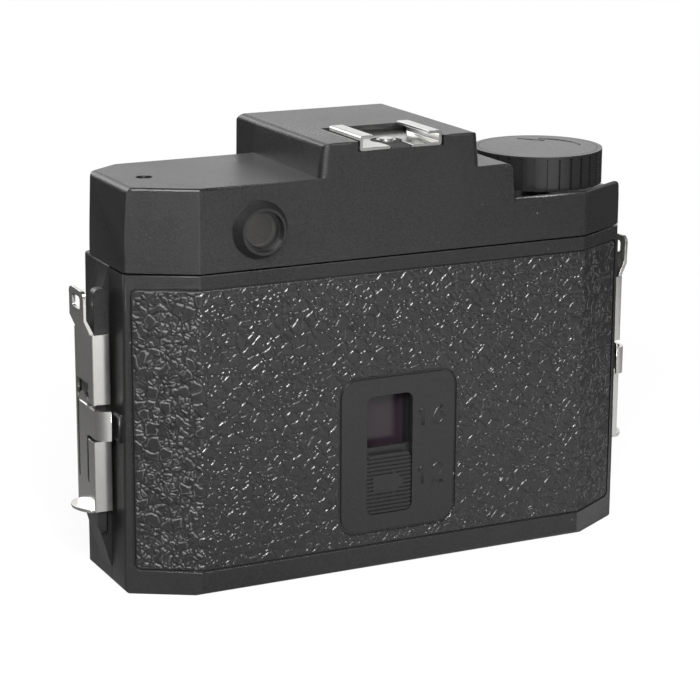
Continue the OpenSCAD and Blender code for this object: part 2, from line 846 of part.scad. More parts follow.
module shoe_contact() {
    color(bright_metal)
    translate([0, contact_y, shoe_floor_z - wall - 0.8]) {
        cylinder(r = contact_r, h = wall + 1.7);
        translate([0, 0, wall + 1.7]) cylinder(r = contact_r - 0.6, h = 0.3);
    }
}

module contact_leaf() {
    leaf_z = shoe_floor_z - wall - 0.8 - 0.5;
    color(brass)
    translate([-2, contact_y - 12, leaf_z]) cube([4, 14, 0.5]);
    color(brass)
    translate([-2, contact_y - 12, leaf_z]) cube([4, 3, 1.3]);
}

module finder_eyepiece() {
    stop_r = eye_lens_r - 0.45;
    rim_r = eyepiece_r - eyepiece_taper;
    color(black)
    translate([finder_x, rear_y, finder_z]) rotate([-90, 0, 0]) rotate_extrude($fn = 96)
        polygon([[stop_r, -wall], [spigot_r, -wall], [spigot_r, 0], [eyepiece_r, 0],
                 [eyepiece_r, 0.4], [rim_r + 0.3, eyepiece_proud - 0.6], [rim_r, eyepiece_proud],
                 [rim_r - 0.6, eyepiece_proud], [rim_r - 0.75, eye_lens_top],
                 [eye_lens_r + 0.05, eye_lens_top], [eye_lens_r + 0.05, eye_lens_top - eye_lens_t],
                 [stop_r, eye_lens_top - eye_lens_t]]);
}

module finder_eye_lens() {
    color(clear_glass)
    translate([finder_x, rear_y + eye_lens_top - eye_lens_t, finder_z]) rotate([-90, 0, 0])
        cylinder(r = eye_lens_r, h = eye_lens_t);
}

module finder_tube() {
    half_x = finder_w / 2 + 1;
    half_z = finder_h / 2 + 0.9;
    front = cover_front_y + wall;
    color(dark_plastic)
    difference() {
        along_y(front, inner_rear_y) translate([finder_x, finder_z])
            square([2 * half_x, 2 * half_z], center = true);
        along_y(front - cut, inner_rear_y + cut) translate([finder_x, finder_z])
            square([2 * half_x - 1.8, 2 * half_z - 1.8], center = true);
    }
}

module finder_front_lens() {
    color(clear_glass)
    along_y(cover_front_y + 0.4, cover_front_y + 0.4 + 1.6) translate([finder_x, finder_z])
        square([finder_w - 2.3, finder_h - 2.3], center = true);
}

module finder_frame() {
    inner_x = finder_w / 2 - 1.1;
    inner_z = finder_h / 2 - 1.1;
    color(black)
    difference() {
        union() {
            along_y(cover_front_y - 0.7, cover_front_y)
                rounded_rect(finder_x - finder_w / 2 - 1.2, finder_z - finder_h / 2 - 1.2,
                             finder_x + finder_w / 2 + 1.2, finder_z + finder_h / 2 + 1.2, 1.5);
            along_y(cover_front_y - 0.1, cover_front_y + wall)
                rounded_rect(finder_x - finder_w / 2 + 0.1, finder_z - finder_h / 2 + 0.1,
                             finder_x + finder_w / 2 - 0.1, finder_z + finder_h / 2 - 0.1, 1);
        }
        along_y(cover_front_y - cut, cover_front_y + wall + cut)
            translate([finder_x, finder_z]) square([2 * inner_x, 2 * inner_z], center = true);
    }
}

// Ring-shaped housing on the body front, with slots for its levers
module shutter_housing() {
    inner_r = housing_r - barrel_wall;
    color(black)
    on_lens_axis(0) difference() {
        union() {
            difference() {
                cylinder(r = housing_r, h = housing_len, $fn = 128);
                translate([0, 0, -cut])
                    cylinder(r = inner_r, h = housing_len - barrel_wall + cut, $fn = 128);
            }
            // Bosses of the screws that hold it to the body
            for (a = [45:90:315]) rotate([0, 0, a]) translate([screw_circle_r, 0, 0])
                cylinder(r = screw_boss_r, h = screw_boss_h);
        }
        translate([0, 0, screw_boss_h]) cylinder(r = barrel_bore_r, h = 2 * housing_len, $fn = 128);
        // Slot of the release lever
        translate([-housing_r - cut, -10, lever_at - 0.6]) cube([housing_r / 2, 26, lever_t + 1.2]);
        // Slot of the aperture lever
        translate([-4, housing_r / 2, stop_at - 0.5]) cube([17, housing_r, stop_t + 1]);
        // Slot of the time switch
        translate([-3.5, -2 * housing_r, switch_at - 0.4])
            cube([2 * switch_neck + switch_travel + 3, housing_r * 1.5, switch_neck + 0.8]);
        // Pilot holes in the bosses
        for (a = [45:90:315]) rotate([0, 0, a]) translate([screw_circle_r, 0, -cut])
            cylinder(r = screw_shank_r + 0.05, h = screw_boss_h - 1 + cut);
    }
}

// Plate that closes the housing and carries the pins of the shutter parts
module shutter_plate() {
    plate_r_out = housing_r - barrel_wall - 0.15;
    color(dark_plastic)
    on_lens_axis(plate_back) {
        difference() {
            union() {
                cylinder(r = plate_r_out, h = plate_thick, $fn = 96);
                translate([0, 0, -plate_back]) tube(plate_r_out, plate_r_out - 1.5, plate_back + 0.2);
            }
            translate([0, 0, -cut]) cylinder(r = light_hole_r, h = plate_thick + 2 * cut);
            for (a = [45:90:315]) rotate([0, 0, a]) translate([screw_circle_r, 0, -2 * plate_back])
                cylinder(r = screw_boss_r + 0.15, h = 4 * plate_back);
        }
        translate([lever_pin[0], lever_pin[1], plate_thick - 0.1])
            cylinder(r = lever_pin_r, h = stop_at + stop_t + 0.3 - plate_face + 0.1);
        translate([blade_pin[0], blade_pin[1], plate_thick - 0.1])
            cylinder(r = blade_pin_r, h = lever_at - 0.1 - plate_face + 0.1);
        translate([stop_pin[0], stop_pin[1], plate_thick - 0.1])
            cylinder(r = stop_pin_r, h = stop_at + stop_t + 0.3 - plate_face + 0.1);
        // Collar that holds the aperture lever at its level
        translate([stop_pin[0], stop_pin[1], plate_thick - 0.1])
            cylinder(r = stop_pin_r + 1, h = stop_at - 0.2 - plate_face + 0.1);
        // Collar under the release lever
        translate([lever_pin[0], lever_pin[1], plate_thick - 0.1])
            cylinder(r = lever_pin_r + 1, h = lever_at - 0.2 - plate_face + 0.1);
    }
}

module release_spring() {
    color(nickel)
    on_lens_axis(lever_at + lever_t + 0.2)
        translate([lever_pin[0], lever_pin[1], 0]) tube(lever_pin_r + 1.1, lever_pin_r + 0.15, 1.6);
}

module release_lever() {
    tip_x = -housing_r - 7;
    hub_r = 4;
    arm_low = 2;
    arm_high = 7;
    pad_in = 3;
    pad_up = 1.6;
    color(black)
    on_lens_axis(lever_at) difference() {
        union() {
            translate([lever_pin[0], lever_pin[1], 0]) cylinder(r = hub_r, h = lever_t);
            linear_extrude(lever_t)
                polygon([[lever_pin[0] + hub_r / 2, lever_pin[1] - 0.85 * hub_r],
                         [lever_pin[0], lever_pin[1] + hub_r],
                         [tip_x + pad_in, lever_pin[1] + arm_high],
                         [tip_x + pad_in, lever_pin[1] + arm_low]]);
            // Finger pad
            translate([tip_x + pad_in, lever_pin[1] + arm_low, -pad_up])
                linear_extrude(lever_t + 2 * pad_up)
                    rounded_rect(-pad_in, -0.1 * (arm_high - arm_low), pad_in - 0.5,
                                 1.1 * (arm_high - arm_low), pad_in * 0.4);
        }
        translate([lever_pin[0], lever_pin[1], -cut])
            cylinder(r = lever_pin_r + pin_play, h = lever_t + 2 * cut);
    }
}

module shutter_blade() {
    hub_r = 3;
    color(nickel)
    on_lens_axis(blade_at) difference() {
        union() {
            cylinder(r = blade_r, h = blade_t);
            translate([blade_pin[0], blade_pin[1], 0]) cylinder(r = hub_r, h = blade_t);
            linear_extrude(blade_t)
                polygon([[-0.15 * blade_r, 0.83 * blade_r],
                         [blade_pin[0] - 0.33 * hub_r, blade_pin[1] + 0.93 * hub_r],
                         [blade_pin[0] + 0.66 * hub_r, blade_pin[1] - 0.66 * hub_r],
                         [0.64 * blade_r, -0.68 * blade_r]]);
        }
        translate([blade_pin[0], blade_pin[1], -cut])
            cylinder(r = blade_pin_r + pin_play, h = blade_t + 2 * cut);
    }
}

// Swinging plate with two stops and a finger tab above the housing
module aperture_lever() {
    small_at = [stop_arm * sin(stop_turn), stop_pin[1] - stop_arm * cos(stop_turn)];
    tab_top = housing_r + 3;
    tab_w = 3.6;
    stop_rim = 2.2;
    tab_end_t = 1.6;
    hub_r = 4;
    color(black)
    on_lens_axis(stop_at) difference() {
        union() {
            translate([stop_pin[0], stop_pin[1], 0]) cylinder(r = hub_r, h = stop_t);
            cylinder(r = large_stop_r + stop_rim, h = stop_t);
            translate([small_at[0], small_at[1], 0]) cylinder(r = small_stop_r + stop_rim, h = stop_t);
            linear_extrude(stop_t)
                polygon([[stop_pin[0] - 0.9 * hub_r, stop_pin[1]], [stop_pin[0] + 0.9 * hub_r, stop_pin[1]],
                         [small_at[0] + small_stop_r + stop_rim / 2, small_at[1] + small_stop_r],
                         [small_at[0], small_at[1] - small_stop_r - stop_rim / 2],
                         [-large_stop_r - stop_rim / 2, 0]]);
            translate([-tab_w / 2, stop_pin[1], 0]) cube([tab_w, tab_top - stop_pin[1], stop_t]);
            translate([0, tab_top - tab_end_t / 2 + 0.5, stop_t / 2])
                cube([tab_w + 2.4, tab_end_t, 5 * stop_t], center = true);
        }
        translate([0, 0, -cut]) cylinder(r = large_stop_r, h = stop_t + 2 * cut);
        translate([small_at[0], small_at[1], -cut]) cylinder(r = small_stop_r, h = stop_t + 2 * cut);
        translate([stop_pin[0], stop_pin[1], -cut])
            cylinder(r = stop_pin_r + pin_play, h = stop_t + 2 * cut);
    }
}

module time_switch() {
    inner_r = housing_r - barrel_wall;
    color(black)
    on_lens_axis(switch_at) {
        // Button outside, neck through the slot, foot inside
        translate([-2, -housing_r - 2.4, -0.9]) cube([4, 2, switch_neck + 1.8]);
        translate([-switch_neck / 2, -housing_r - 1, 0.2]) cube([switch_neck, 5.5, switch_neck - 0.4]);
        translate([-2, -inner_r + 1.3, -0.4]) cube([4, 1.4, switch_neck + 0.7]);
    }
}

// Fixed barrel with the flange that closes the housing
module lens_barrel() {
    color(black)
    on_lens_axis(barrel_at) difference() {
        union() {
            cylinder(r = barrel_flange_r, h = barrel_flange_t, $fn = 128);
            cylinder(r = barrel_r, h = barrel_flange_t + barrel_len, $fn = 128);
        }
        translate([0, 0, -cut])
            cylinder(r = barrel_bore_r, h = barrel_flange_t + barrel_len + 2 * cut, $fn = 128);
    }
}

// Four screws from inside the body that hold the shutter housing
module housing_screws() {
    head_t = 1.2;
    color(nickel)
    for (a = [45:90:315]) on_lens_axis(-wall) rotate([0, 0, a]) translate([screw_circle_r, 0, 0]) {
        translate([0, 0, -head_t]) cylinder(r = 1.8, h = head_t);
        translate([0, 0, -0.1]) cylinder(r = screw_shank_r, h = wall + screw_boss_h - 1.5);
    }
}

module ratchet_pawl() {
    strip = 0.5;
    post_w = 4;
    post_x = -knob_x + 2 * ratchet_r;
    reach_y = ratchet_r + strip;
    tip_x = -knob_x + 1;
    color(nickel) {
        translate([post_x, -post_w, body_h]) cube([post_w, post_w, ratchet_z - body_h + ratchet_t]);
        translate([tip_x, -reach_y - strip, ratchet_z]) cube([post_x + post_w - tip_x, strip, ratchet_t]);
        translate([post_x, -reach_y - strip, ratchet_z]) cube([post_w, reach_y, ratchet_t]);
    }
}

// Knob with thin upright grooves and a shallow seat for its cap
module winding_knob() {
    color(black)
    translate([-knob_x, 0, knob_z]) difference() {
        cylinder(r = knob_r, h = knob_h, $fn = 128);
        for (i = [0:knob_grooves - 1]) rotate([0, 0, i * 360 / knob_grooves])
            translate([knob_r - knob_groove_depth, -knob_groove_w / 2, -cut])
                cube([knob_groove_depth + cut, knob_groove_w, knob_h - 0.6 + cut]);
        translate([0, 0, knob_h - cap_t]) cylinder(r = cap_r + 0.1, h = cap_t + cut, $fn = 96);
        // Bore of the shaft
        translate([0, 0, -cut]) cylinder(r = shaft_r, h = knob_h - cap_t - 1.5 + cut);
        // Hollow underside
        translate([0, 0, -cut]) difference() {
            cylinder(r = knob_r - 2.5, h = knob_h - cap_t - 2 + cut);
            cylinder(r = shaft_r + 1.8, h = knob_h + cut);
        }
    }
}

module knob_cap() {
    color(black)
    translate([-knob_x, 0, knob_top_z - cap_t]) cylinder(r = cap_r, h = cap_t, $fn = 96);
}

// Shaft with a ratchet wheel and the key that turns the spool
module winding_shaft() {
    key_top = spool_top_z + 0.3;
    wheel_tooth = 0.8;
    color(nickel)
    translate([-knob_x, 0, 0]) {
        translate([0, 0, key_top]) cylinder(r = shaft_r, h = knob_top_z - cap_t - 1.5 - key_top);
        translate([0, 0, ratchet_z]) difference() {
            cylinder(r = ratchet_r, h = ratchet_t);
            for (i = [0:ratchet_teeth - 1]) rotate([0, 0, i * 360 / ratchet_teeth])
                translate([ratchet_r - wheel_tooth, 0, -cut]) cube([2, 0.9, ratchet_t + 2 * cut]);
        }
        translate([-key_w / 2, -key_t / 2, key_top - key_h]) cube([key_w, key_t, key_h + 0.1]);
    }
}

module take_up_spool() {
    waist = spool_len - 2 * spool_flange_t;
    color(dark_plastic)
    translate([-knob_x, 0, spool_z]) difference() {
        union() {
            cylinder(r = spool_flange_r, h = spool_flange_t, $fn = 96);
            cylinder(r = spool_core_r, h = spool_len);
            translate([0, 0, spool_flange_t + waist])
                cylinder(r = spool_flange_r, h = spool_flange_t, $fn = 96);
        }
        // Round hole at the foot, slot for the key at the head
        translate([0, 0, -cut]) cylinder(r = pivot_r + 0.5, h = 5);
        translate([0, 0, spool_len - key_h - 0.2]) cylinder(r = 2, h = key_h + cut);
        translate([-key_w / 2 - key_play, -key_t / 2 - key_play, spool_len - key_h - 0.2])
            cube([key_w + 2 * key_play, key_t + 2 * key_play, key_h + cut]);
        // Slit that takes the end of the film
        translate([-0.6, -spool_core_r - cut, spool_len * 0.3])
            cube([1.2, 2 * spool_core_r + 2 * cut, spool_len * 0.4]);
    }
}

// Sleeve that slides in the barrel and carries glass and front rim
module lens_carriage() {
    color(black)
    on_lens_axis(0) difference() {
        union() {
            translate([0, 0, carriage_from])
                cylinder(r = carriage_r, h = rim_from - carriage_from + cut, $fn = 128);
            translate([0, 0, rim_from]) cylinder(r = rim_r, h = lens_reach - rim_from, $fn = 128);
        }
        translate([0, 0, carriage_from - cut])
            cylinder(r = carriage_r - carriage_wall, h = rim_from - carriage_from + 2 * cut, $fn = 96);
        translate([0, 0, rim_from])
            cylinder(r = carriage_r - carriage_wall, h = lens_reach, $fn = 96);
        translate([0, 0, lens_reach - filter_depth])
            cylinder(r = filter_r, h = filter_depth + cut, $fn = 128);
    }
}

module lens_baffle() {
    wide_r = carriage_r - carriage_wall - 0.05;
    front = lens_reach - filter_depth - 0.2;
    hold_t = 1.2;
    edge_r = glass_r - 1;
    color(black)
    on_lens_axis(0) rotate_extrude($fn = 96)
        polygon([[edge_r, glass_at + glass_t + 0.1], [edge_r, glass_at + glass_t + hold_t],
                 [wide_r - hold_t, front], [wide_r, front], [wide_r, glass_at - hold_t],
                 [edge_r, glass_at - hold_t], [edge_r, glass_at - 0.1],
                 [glass_r + 0.1, glass_at - 0.1], [glass_r + 0.1, glass_at + glass_t + 0.1]]);
}

module lens_element() {
    bulge = 1.6;
    ball_r = (glass_r * glass_r + bulge * bulge) / (2 * bulge);
    color(clear_glass)
    on_lens_axis(glass_at) intersection() {
        cylinder(r = glass_r, h = glass_t);
        translate([0, 0, glass_t - ball_r]) sphere(r = ball_r, $fn = 96);
    }
}

// Ribbed ring round the barrel, turned to focus
module focus_ring() {
    length = focus_to - focus_from;
    rib_d = 0.8;
    rib_w = 1.1;
    rib_from = length * 0.38;
    rib_len = length * 0.56;
    grip_r = focus_r - rib_d;
    step = 360 / focus_ribs;
    color(black)
    on_lens_axis(focus_from) difference() {
        union() {
            cylinder(r = grip_r, h = length, $fn = 128);
            for (i = [0:focus_ribs - 1]) rotate([0, 0, i * step])
                translate([grip_r - rib_d, -rib_w / 2, rib_from]) cube([2 * rib_d, rib_w, rib_len]);
        }
        translate([0, 0, -cut]) cylinder(r = focus_bore_r, h = length + 2 * cut, $fn = 128);
    }
}

// Outline of the grain panel of the back, drawn in X and Z
module back_grain_outline(play) {
    rounded_rect(-grain_half - play, grain_base_z - play, grain_half + play, grain_top_z + play, grain_r);
}

// Outline of the window plate, drawn in X and Z
module plate_outline(play) {
    rounded_rect(-plate_half - play, plate_z - play, plate_half + play, plate_top_z + play,
                 plate_r + play);
}

module back_cover() {
    color(black)
    difference() {
        union() {
            difference() {
                intersection() {
                    body_form(0, back_h);
                    behind(back_start_y);
                }
                body_form(wall, back_h);
            }
            // Catches that the clips close over
            for (side = [-1, 1]) translate([side * (half_w - wall / 2 + nib_out_x) / 2,
                                            nib_y + nib_w / 2, band_z + band_h / 2 - 0.6])
                cube([nib_out_x - half_w + wall / 2, nib_w, band_h - 0.3], center = true);
        }
        // Shallow recess of the grain panel
        difference() {
            intersection() {
                along_y(back_start_y + 2, rear_y + cut) back_grain_outline(0.15);
                behind(back_start_y + 2);
            }
            body_form(grain_recess, body_h + 5);
        }
        // Opening of the window plate
        along_y(inner_rear_y - cut, rear_y + cut) plate_outline(plate_gap);
        // Notch round the winding shaft
        translate([-knob_x, 0, roof_z - cut]) cylinder(r = shaft_r + 0.4, h = wall + 2 * cut);
    }
}

module back_grain_panel() {
    color(grain_black)
    difference() {
        intersection() {
            body_form(-grain_proud, body_h + 5);
            along_y(back_start_y + 2, rear_y + cut) back_grain_outline(0);
            behind(back_start_y + 2);
        }
        body_form(grain_recess, body_h + 5);
        along_y(inner_rear_y - cut, rear_y + cut) plate_outline(plate_gap);
    }
}

// Plate with the slot, its rear flange and the light tunnel behind it
module window_plate() {
    flange = 1.4;
    ledge_w = 1.5;
    ledge_t = 0.9;
    ledge_y = rear_y - plate_t - slider_flange_t - 0.2;
    tunnel_left = slot_left + tunnel_out;
    tunnel_right = slot_right - tunnel_out;
    tunnel_low = slot_z - tunnel_out;
    tunnel_high = slot_top_z + tunnel_out;
    color(black)
    difference() {
        union() {
            along_y(inner_rear_y - 0.1, rear_y) plate_outline(0);
            along_y(inner_rear_y - 1.1, inner_rear_y - 0.1) plate_outline(flange);
            along_y(red_y, inner_rear_y)
                rounded_rect(tunnel_right - tunnel_wall, tunnel_low - tunnel_wall,
                             tunnel_left + tunnel_wall, tunnel_high + tunnel_wall, 1);
        }
        // Slot through the plate
        along_y(rear_y - plate_t - cut, rear_y + cut)
            rounded_rect(slot_right, slot_z, slot_left, slot_top_z, slot_r);
        // Wider space behind it for the slider and the light tunnel
        difference() {
            along_y(red_y - cut, rear_y - plate_t)
                rounded_rect(tunnel_right, tunnel_low, tunnel_left, tunnel_high, 0.5);
            // Ledges that hold the slider from behind, the far one down to the red window
            translate([tunnel_left - ledge_w, ledge_y - ledge_t, tunnel_low])
                cube([ledge_w, ledge_t, tunnel_high - tunnel_low]);
            translate([tunnel_right, red_y + red_t + 0.05, tunnel_low])
                cube([tunnel_out, ledge_y - red_y - red_t - 0.05, tunnel_high - tunnel_low]);
        }
    }
}

module red_window() {
    reach = tunnel_out - 0.1;
    color(red_glass)
    along_y(red_y, red_y + red_t)
        rounded_rect(slot_right - reach, slot_z - reach, slot_left + reach, slot_top_z + reach, 0.4);
}

// Ribbed slider that covers one half of the slot
module window_slider() {
    low = slot_z + slider_play;
    high = low + slider_h - slider_play;
    left = slot_left - slider_play;
    right = slot_right + slider_play;
    face_y = rear_y - 0.3;
    pitch = (high - low - 0.8) / slider_ribs;
    flange_y = rear_y - plate_t - 0.1;
    color(black) {
        difference() {
            along_y(flange_y - slider_flange_t, face_y)
                rounded_rect(right, low, left, high, slot_r - slider_play);
            for (i = [0:slider_ribs - 1])
                translate([right - cut, face_y - 0.35, low + 0.6 + i * pitch])
                    cube([left - right + 2 * cut, cut, pitch * 0.45]);
        }
        along_y(flange_y - slider_flange_t, flange_y)
            rounded_rect(right - slider_flange, low - slider_flange, left + slider_flange,
                         high + slider_flange, 0.8);
        // Smooth arrow across the ribs
        along_y(face_y - 0.6, face_y)
            translate([slot_x, (low + high) / 2]) polygon([[4.2, -1.7], [4.2, 1.7], [-1, 1.7],
                [-1, 3], [-4.3, 0], [-1, -3], [-1, -1.7]]);
    }
}

module pressure_plate() {
    half = gate / 2 + 3;
    color(nickel)
    difference() {
        along_y(film_y + 0.3, film_y + 1.1) translate([0, lens_z])
            square([2 * half + 6, 2 * half], center = true);
        tunnel_space(0.5);
    }
}

// Space of the light tunnel through the pressure plate and its pad
module tunnel_space(play) {
    grow = tunnel_out + tunnel_wall + play;
    along_y(0, inner_rear_y + cut)
        rounded_rect(slot_right - grow, slot_z - grow, slot_left + grow, slot_top_z + grow, 1);
}

module foam_pad() {
    half = gate / 2 + 2;
    color(foam_grey)
    difference() {
        along_y(film_y + 1.1, inner_rear_y) translate([0, lens_z])
            square([2 * half + 4, 2 * half], center = true);
        tunnel_space(0.5);
        along_y(inner_rear_y - 1.2, inner_rear_y + cut) plate_outline(1.6);
    }
}

// Strips of foam on the rim of the back cover
module light_seals() {
    strip = 1.6;
    thick = 0.8;
    y0 = back_start_y + 0.6;
    color(foam_grey) {
        difference() {
            translate([-half_w + 12, y0 + 1, back_h - wall - thick]) cube([body_w - 24, strip, thick]);
            translate([-knob_x, 0, roof_z - 2 * cut]) cylinder(r = shaft_r + 1, h = wall + cut);
        }
        translate([-half_w + 12, y0 + 1, wall]) cube([body_w - 24, strip, thick]);
    }
}

// Sheet clip with a strap lug, a spring band and a thumb lip, on the +X side
module side_clip() {
    x1 = clip_out_x;
    bend_r = 1.2;
    band_top = band_z + band_h;
    split = 0.9;
    window_top = band_top + 5.4;
    tongue_low = clip_z + 6.3;
    slit_w = 0.9;
    lip_round = 6;
    front_slit = clip_front_y + 1.1;
    rear_slit = clip_rear_y - 4.6;
    band_bend = 3;
    band_cx = x1 - band_bend;
    band_cy = clip_rear_y + 0.5;
    lug_rear = clip_rear_y - 0.6;
    lug_front = lug_rear - 9.3;
    lug_bend_z = clip_top_z + 3.3;
    lug_x = x1 + lug_offset;
    lug_top_z = clip_top_z + lug_h;
    color(nickel) {
        difference() {
            // Channel
            translate([0, 0, clip_z]) linear_extrude(clip_len) difference() {
                rounded_rect(lip_in_x, clip_front_y, x1, clip_rear_y, bend_r / 3);
                rounded_rect(lip_out_x, clip_front_y + sheet, x1 - sheet, clip_rear_y - sheet, 0.3);
                translate([lip_in_x - cut, clip_front_y + sheet + lip_w])
                    square([sheet + 2 * cut, clip_rear_y - clip_front_y - 2 * (sheet + lip_w)]);
            }
            // Window over the spring tongue
            translate([x1 - 2 * sheet, front_slit, band_top])
                cube([3 * sheet, rear_slit - front_slit + 1.6, window_top - band_top]);
            // Slit along each side of the tongue
            translate([x1 - 2 * sheet, front_slit, tongue_low])
                cube([3 * sheet, slit_w, band_top - tongue_low + cut]);
            translate([x1 - 2 * sheet, rear_slit, tongue_low]) cube([3 * sheet, slit_w, band_z - tongue_low]);
            // Space that parts the band from the channel
            translate([lip_in_x - cut, rear_slit, band_z - split]) cube([rail_out + 4, 8, split]);
            translate([lip_in_x - cut, rear_slit, band_top]) cube([rail_out + 4, 8, split]);
            translate([lip_in_x - cut, clip_rear_y - sheet - lip_w - cut, band_z - split])
                cube([x1 - lip_in_x - sheet - 0.2 + cut, 8, band_h + 2 * split]);
        }
        // Band that wraps towards the back cover
        translate([0, 0, band_z]) linear_extrude(band_h) {
            translate([x1 - sheet, clip_rear_y - 2.5]) square([sheet, band_cy - clip_rear_y + 2.5]);
            intersection() {
                translate([band_cx, band_cy]) difference() {
                    circle(r = band_bend);
                    circle(r = band_bend - sheet);
                }
                translate([band_cx - 0.2, band_cy]) square([band_bend + cut, band_bend + cut]);
            }
        }
        // Rounded end of the tongue inside the window
        translate([x1 - sheet, (front_slit + rear_slit) / 2, band_top]) intersection() {
            rotate([0, 90, 0]) cylinder(r = 2.6, h = sheet * 0.6);
            translate([0, -3, -0.1]) cube([sheet, 6, 3]);
        }
        // Strap lug
        difference() {
            along_y(lug_front, lug_rear)
                polygon([[x1 - sheet, clip_top_z - 0.5], [x1, clip_top_z - 0.5],
                         [lug_x, lug_bend_z], [lug_x, lug_top_z], [lug_x - sheet, lug_top_z],
                         [lug_x - sheet, lug_bend_z + 0.3], [x1 - sheet, clip_top_z + 0.3]]);
            // Rounded upper corners
            lug_corner(lug_front, lug_top_z, 1);
            lug_corner(lug_rear, lug_top_z, -1);
            along_x(x1 - 2, lug_x + cut)
                rounded_rect((lug_front + lug_rear - lug_hole_w) / 2, lug_top_z - 1.5 - lug_hole_h,
                             (lug_front + lug_rear + lug_hole_w) / 2, lug_top_z - 1.5, 0.7);
        }
        // Thumb lip with a rounded outline
        intersection() {
            along_y(clip_front_y + 0.8, clip_rear_y - 0.8)
                polygon([[x1 - sheet, clip_z + 0.5], [x1, clip_z + 0.5], [x1 + 3.6, clip_z + 0.7],
                         [x1 + 3.6, clip_z], [x1 + 0.5, clip_z - 0.3], [x1 - sheet, clip_z]]);
            translate([x1 + 3.4 - lip_round, (clip_front_y + clip_rear_y) / 2, 0])
                cylinder(r = lip_round, h = clip_z + 2);
        }
    }
}

// Cutter that rounds one upper corner of the strap lug
module lug_corner(edge_y, top_z, way) {
    r = 1.6;
    translate([clip_out_x - 2, edge_y + way * r, top_z - r]) difference() {
        translate([0, way > 0 ? -r - cut : 0, 0]) cube([lug_offset + 4, r + cut, r + cut]);
        translate([-cut, 0, 0]) rotate([0, 90, 0]) cylinder(r = r, h = lug_offset + 6);
    }
}

module left_clip() {
    side_clip();
}

module right_clip() {
    mirror([1, 0, 0]) side_clip();
}

front_body();
top_cover();
film_chamber();
film_mask();
tripod_socket();
spool_pivots();
deck_screw();
accessory_shoe();
shoe_insulator();
shoe_contact();
contact_leaf();
finder_eyepiece();
finder_eye_lens();
finder_tube();
finder_front_lens();
finder_frame();
front_grain_panels();
shutter_housing();
shutter_plate();
release_spring();
lens_barrel();
housing_screws();
ratchet_pawl();
winding_knob();
knob_cap();
winding_shaft();
take_up_spool();
release_lever();
shutter_blade();
aperture_lever();
time_switch();
lens_carriage();
lens_element();
lens_baffle();
focus_ring();
back_cover();
back_grain_panel();
window_plate();
red_window();
pressure_plate();
foam_pad();
light_seals();
window_slider();
left_clip();
right_clip();
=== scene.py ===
"""Dressed model of a medium format film camera with a lift-off back.

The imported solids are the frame. The classes below dress them with finishes and add the pieces that
only show: the moulded leather grain, the small marks, rounded copies of the large mouldings and the
studio round the camera. Sizes in the classes are millimetres unless a name or a docstring says
otherwise, and every mesh is in metres.
"""
import logging
import math
from dataclasses import dataclass
from enum import Enum
from typing import Callable, Dict, Optional, Sequence, Tuple, Union

import bmesh
import bpy
import numpy as np
from mathutils import Matrix, Vector


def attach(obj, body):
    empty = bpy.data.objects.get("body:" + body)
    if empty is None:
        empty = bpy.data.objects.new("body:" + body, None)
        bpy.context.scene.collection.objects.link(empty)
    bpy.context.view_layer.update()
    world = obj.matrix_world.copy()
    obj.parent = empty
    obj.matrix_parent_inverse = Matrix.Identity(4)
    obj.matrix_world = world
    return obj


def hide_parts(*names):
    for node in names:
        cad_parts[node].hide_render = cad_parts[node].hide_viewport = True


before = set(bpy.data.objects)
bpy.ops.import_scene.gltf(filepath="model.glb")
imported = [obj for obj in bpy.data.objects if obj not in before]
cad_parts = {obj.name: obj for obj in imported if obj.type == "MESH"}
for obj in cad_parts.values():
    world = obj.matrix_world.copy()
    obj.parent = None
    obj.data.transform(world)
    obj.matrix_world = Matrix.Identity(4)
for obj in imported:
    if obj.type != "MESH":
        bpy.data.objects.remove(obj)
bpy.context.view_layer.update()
MM = 0.001
MICRON = 1e-6
LOG = logging.getLogger("camera")

# Points across the crown of a raised line.
CROWN_POINTS = 7
# Two seeds closer than this, in cells, are the same one.
SAME_SEED = 1e-6
# Factors of the sine that stands for a random number, and offsets of its seed for further numbers.
HASH_X, HASH_Y, HASH_SEED, HASH_SCALE = 127.1, 311.7, 74.7, 43758.5453
SECOND_NUMBER, CELL_NUMBER = 7.3, 3.1

Array = np.ndarray
Point = Tuple[float, float, float]
Color = Tuple[float, float, float]
Span = Tuple[float, float]
Box = Tuple[float, float, float, float]
Output = bpy.types.NodeSocket
Value = Union[bpy.types.NodeSocket, float, Tuple[float, ...]]


class Side(Enum):
    """Side of the camera, with the sign of X there as its value."""

    LEFT = 1.0
    RIGHT = -1.0

    @property
    def word(self) -> str:
        """The side as the names of pieces and bodies say it."""
        return self.name.lower()


class SocketKind(Enum):
    """Kinds of a node group's inputs and outputs."""

    COLOR = "NodeSocketColor"
    NUMBER = "NodeSocketFloat"


@dataclass(frozen=True)
class BackPlan:
    """Plan of the back, seen from above: a flat middle with a slanted facet at each side.

    Attributes:
        rear: Y of the flat middle.
        flat_half: half the width of the flat middle.
        facet_slope: how far a facet falls back per millimetre along X.
    """

    rear: float = 18.5
    flat_half: float = 49.85
    facet_slope: float = 0.58054

    @property
    def turn(self) -> float:
        """Angle between the middle and a facet."""
        return math.atan(self.facet_slope)


BACK = BackPlan()


# Meshes


def new_mesh(name: str, points: Array, faces: Union[Array, Sequence[Sequence[int]]]) -> bpy.types.Object:
    """Puts points and faces into a smooth mesh object at the origin.

    Args:
        name: name of the piece.
        points: array of shape (n, 3), in millimetres.
        faces: lists or an array of vertex numbers.

    Returns:
        The new object, linked to the scene.
    """
    mesh = bpy.data.meshes.new(name)
    faces = faces.tolist() if isinstance(faces, np.ndarray) else faces
    mesh.from_pydata((np.asarray(points, float) * MM).tolist(), [], faces)
    mesh.validate()
    mesh.polygons.foreach_set("use_smooth", np.ones(len(mesh.polygons), bool))
    piece = bpy.data.objects.new(name, mesh)
    bpy.context.scene.collection.objects.link(piece)
    return piece


